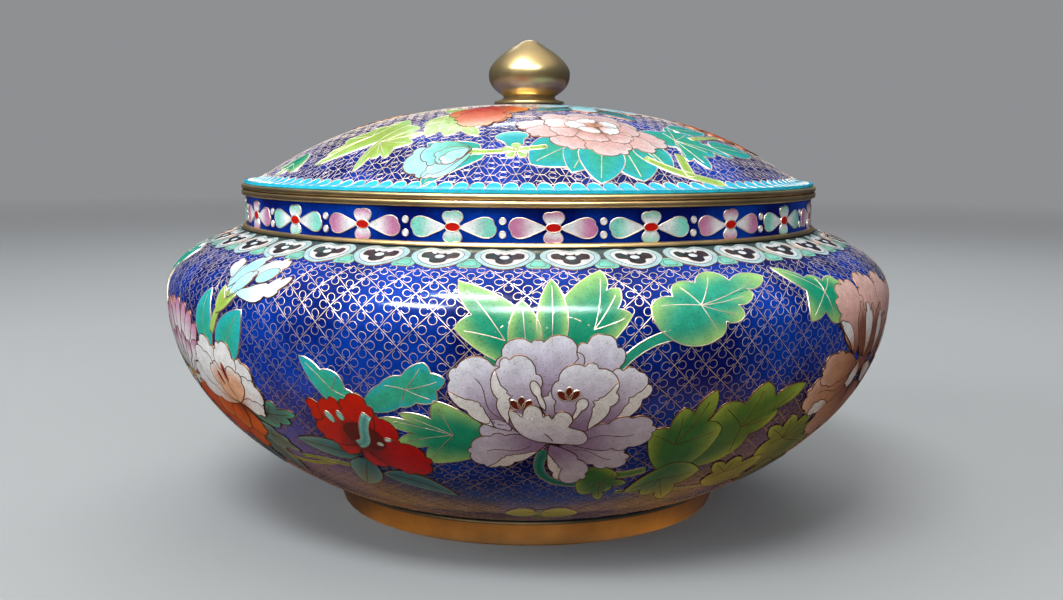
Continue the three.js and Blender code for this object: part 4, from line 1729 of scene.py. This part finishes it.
class BOWL_OT_lid_lattice(bpy.types.Operator):
    """Lay the lid's lattice of stars, hexagons and small rings"""

    bl_idname = "bowl.lid_lattice"
    bl_label = "Lid lattice"

    pitch = 10.4
    rise = 6.4
    ring = 1.55
    ring_steps = 7
    ring_wire = 0.55
    arm_wire = 0.58
    side_corner = Vector((3.3, 0))
    top_corner = Vector((1.7, 2.1))
    outer = 136.5
    inner = 17.0

    def execute(self, context):
        face = LidFace()
        boxes = boxed(COVERED.get("lid_enamel", []), (0,))

        def keep(spot):
            return self.inner < spot.length < self.outer

        columns = math.ceil(2 * self.outer / self.pitch)
        rows = math.ceil(self.outer / self.rise)
        corner = Vector((-columns * self.pitch / 2, -rows * self.rise))
        arms = flat_unit(self.arm_wire)
        rings = flat_unit(self.ring_wire)
        for shift in (Vector((0, 0)), Vector((self.pitch / 2, self.rise))):
            star = corner + shift
            ring = star + Vector((self.pitch / 2, 0))
            for side in (-1, 1):
                for end in (-1, 1):
                    flip = Vector((side, end))
                    far_ring = star + Vector((0, end * self.rise))
                    tip = far_ring + Vector((side * self.top_corner.x, -end * self.top_corner.y))
                    arms.wire([star, tip], LATTICE_LIFT)
                    arms.wire([ring + self.side_corner * flip, ring + self.top_corner * flip], LATTICE_LIFT)
                tip = star + Vector((side * (self.pitch / 2 - self.side_corner.x), 0))
                arms.wire([star, tip], LATTICE_LIFT)
                flat = [Vector((self.top_corner.x * end, self.top_corner.y * side)) for end in (-1, 1)]
                arms.wire([ring + spot for spot in flat], LATTICE_LIFT)
            rings.wire(open_loop(ring, self.ring, 0, self.ring_steps), LATTICE_LIFT)
        for name, unit, steps in (("lid_lattice", arms, 1), ("lid_lattice_rings", rings, self.ring_steps)):
            sheet = repeated(unit, (columns, rows), (self.pitch, 2 * self.rise))
            lay_lattice(name, sheet, steps + 1, face, boxes, keep, "lid_enamel")
        return {"FINISHED"}


def studio_light(name, place, size, power, tint, shines):
    """A soft rectangular lamp turned to the object. It either shines in the gloss or gives light."""
    lamp = bpy.data.lights.new(name, "AREA")
    lamp.shape = "RECTANGLE"
    lamp.size = size[0]
    lamp.size_y = size[1]
    lamp.energy = power
    lamp.color = tint
    holder = bpy.data.objects.new(name, lamp)
    holder.visible_glossy = shines
    holder.visible_diffuse = not shines
    holder.location = place
    holder.rotation_euler = (Vector((0, 0, 0.1)) - Vector(place)).to_track_quat("-Z", "Y").to_euler()
    bpy.context.scene.collection.objects.link(holder)


def staged(name, bm, material):
    """A piece of the stage, which neither throws light on the object nor shows in its gloss."""
    piece = in_scene(name, bm, material)
    piece.visible_glossy = False
    piece.visible_diffuse = False
    return piece


class BOWL_OT_stage(bpy.types.Operator):
    """Lay the floor, hang the lamps and set the camera"""

    bl_idname = "bowl.stage"
    bl_label = "Stage"

    camera_place = (0.0018, -0.6084, 0.1819)
    camera_pitch = 7.63
    camera_roll = 0.35
    lens = 39.4
    floor_size = 30.0
    floor_colour = (0.36, 0.355, 0.345)
    haze = (0.75, 0.77, 0.8)
    haze_strength = 0.36
    haze_start = 0.7
    haze_end = 3.5
    wall_radius = 12.0
    cool = (0.88, 0.95, 1.0)
    warm = (1.0, 0.86, 0.72)

    # The lamps that light the object: name, place, width and height, power and colour.
    lights = (
        ("window", (-0.4, -1.0, 1.6), (0.9, 0.4), 25, cool),
        ("fill_left", (-1.6, -0.7, 0.8), (1.0, 1.0), 27, cool),
        ("fill_right", (1.6, -0.5, 0.9), (0.9, 1.1), 8, cool),
        ("back_box", (0.2, 1.4, 1.3), (1.6, 0.7), 16, cool),
        ("low_fill", (0, -1.6, 0.5), (1.6, 0.5), 7, warm),
    )

    # The lamps that show in its gloss.
    panes = (
        ("pane_left", (-0.8, -0.88, 1.49), (0.45, 0.2), 34, cool),
        ("pane_left_high", (-0.42, -0.5, 2.0), (0.5, 0.22), 38, cool),
        ("pane_right", (0.1, -1.1, 1.39), (0.75, 0.18), 46, cool),
        ("front_card", (-0.7, -2.0, 1.05), (3.0, 1.9), 7, cool),
        ("back_card", (0, 1.6, 1.2), (2.4, 0.8), 0.5, cool),
        ("back_tube", (-0.15, 1.5, 1.25), (0.7, 0.05), 2.5, cool),
    )

    # The room's colours by the height of a direction: 0 is straight down, 0.5 level and 1 straight up.
    room = (
        (0.0, (0.04, 0.026, 0.03)),
        (0.09, (0.14, 0.17, 0.22)),
        (0.13, (0.52, 0.28, 0.08)),
        (0.19, (0.5, 0.26, 0.075)),
        (0.25, (0.06, 0.04, 0.045)),
        (0.49, (0.03, 0.034, 0.055)),
        (0.52, (0.03, 0.05, 0.09)),
        (0.8, (0.04, 0.065, 0.11)),
        (1.0, WHITE),
    )

    def surroundings(self):
        """The room: a bronze band low down that shows in the foot, dim cool walls and a white ceiling."""
        world = bpy.data.worlds.new("studio")
        world.use_nodes = True
        nodes = world.node_tree.nodes
        links = world.node_tree.links
        direction = nodes.new("ShaderNodeTexCoord")
        parts = nodes.new("ShaderNodeSeparateXYZ")
        rise = nodes.new("ShaderNodeMapRange")
        rise.inputs["From Min"].default_value = -1
        tone = nodes.new("ShaderNodeValToRGB")
        elements = tone.color_ramp.elements
        elements[0].color = (*self.room[0][1], 1)
        elements[-1].color = (*self.room[-1][1], 1)
        for place, colour in self.room[1:-1]:
            elements.new(place).color = (*colour, 1)
        links.new(direction.outputs["Generated"], parts.inputs["Vector"])
        links.new(parts.outputs["Z"], rise.inputs["Value"])
        links.new(rise.outputs["Result"], tone.inputs["Fac"])
        links.new(tone.outputs["Color"], nodes["Background"].inputs["Color"])
        return world

    def backdrop(self, haze):
        """A pale round wall that only the camera sees."""
        bm = bmesh.new()
        radius = self.wall_radius
        bmesh.ops.create_cone(bm, segments=96, radius1=radius, radius2=radius, depth=2 * radius)
        shader = Shader("pale_wall", Roughness=1.0, Specular_IOR_Level=0.0, Emission_Strength=1.0)
        shader.surface.inputs["Base Color"].default_value = (*BLACK, 1)
        shader.surface.inputs["Emission Color"].default_value = (*haze, 1)
        staged("backdrop", bm, shader.material).visible_shadow = False

    def floor(self, haze):
        """A pale floor that fades into the haze of the backdrop."""
        bm = bmesh.new()
        bmesh.ops.create_grid(bm, x_segments=2, y_segments=2, size=self.floor_size)
        shader = Shader("pale_floor", Roughness=0.9, Specular_IOR_Level=0.0, Emission_Strength=1.0)
        distance = shader.node("VectorMath")
        distance.operation = "LENGTH"
        shader.link(shader.object, distance.inputs[0])
        far = shader.remapped(distance.outputs["Value"], From_Min=self.haze_start, From_Max=self.haze_end)
        shader.colour(shader.bands(far, 0, 1, self.floor_colour, BLACK))
        shader.link(shader.bands(far, 0, 1, BLACK, haze), shader.surface.inputs["Emission Color"])
        staged("floor", bm, shader.material)

    def camera(self):
        """A camera that looks a little down and is rolled a little, as in the photograph."""
        pitch = math.radians(self.camera_pitch)
        roll = math.radians(self.camera_roll)
        forward = Vector((0, math.cos(pitch), -math.sin(pitch)))
        level = Vector((1, 0, 0))
        upright = level.cross(forward)
        right = level * math.cos(roll) + upright * math.sin(roll)
        up = upright * math.cos(roll) - level * math.sin(roll)
        turn = Matrix((right, up, -forward)).transposed()
        camera = bpy.data.cameras.new("camera")
        camera.lens = self.lens
        camera.sensor_width = 36
        camera.clip_start = 0.01
        holder = bpy.data.objects.new("camera", camera)
        holder.matrix_world = Matrix.Translation(self.camera_place) @ turn.to_4x4()
        bpy.context.scene.collection.objects.link(holder)
        return holder

    def execute(self, context):
        haze = [tone * self.haze_strength for tone in self.haze]
        self.floor(haze)
        self.backdrop(haze)
        for lamps, shines in ((self.lights, False), (self.panes, True)):
            for name, place, size, power, tint in lamps:
                studio_light(name, place, size, power, tint, shines)
        context.scene.world = self.surroundings()
        context.scene.view_settings.view_transform = "Standard"
        context.scene.camera = self.camera()
        return {"FINISHED"}


OPERATORS = (
    BOWL_OT_stage,
    BOWL_OT_vessel,
    BOWL_OT_rings,
    BOWL_OT_lid,
    BOWL_OT_knob,
    BOWL_OT_neck_band,
    BOWL_OT_border,
    BOWL_OT_front_flowers,
    BOWL_OT_left_flowers,
    BOWL_OT_right_flowers,
    BOWL_OT_back_flowers,
    BOWL_OT_bowl_lattice,
    BOWL_OT_lid_scallops,
    BOWL_OT_lid_flowers,
    BOWL_OT_lid_lattice,
)


class BOWL_PT_sidebar(bpy.types.Panel):
    """Lists the bowl's operators"""

    bl_idname = "BOWL_PT_sidebar"
    bl_label = "Cloisonne Bowl"
    bl_space_type = "VIEW_3D"
    bl_region_type = "UI"
    bl_category = "Cloisonne"

    def draw(self, context):
        column = self.layout.column()
        for operator in OPERATORS:
            column.operator(operator.bl_idname)


CLASSES = (BowlSizes, EnamelColours, *OPERATORS, BOWL_PT_sidebar)


def register():
    for cls in CLASSES:
        bpy.utils.register_class(cls)
    bpy.types.Scene.bowl_sizes = bpy.props.PointerProperty(type=BowlSizes)
    bpy.types.Scene.enamel_colours = bpy.props.PointerProperty(type=EnamelColours)


def unregister():
    del bpy.types.Scene.enamel_colours
    del bpy.types.Scene.bowl_sizes
    for cls in reversed(CLASSES):
        bpy.utils.unregister_class(cls)


def main():
    register()
    for operator in OPERATORS:
        group, name = operator.bl_idname.split(".")
        getattr(getattr(bpy.ops, group), name)()


if __name__ == "__main__":
    main()
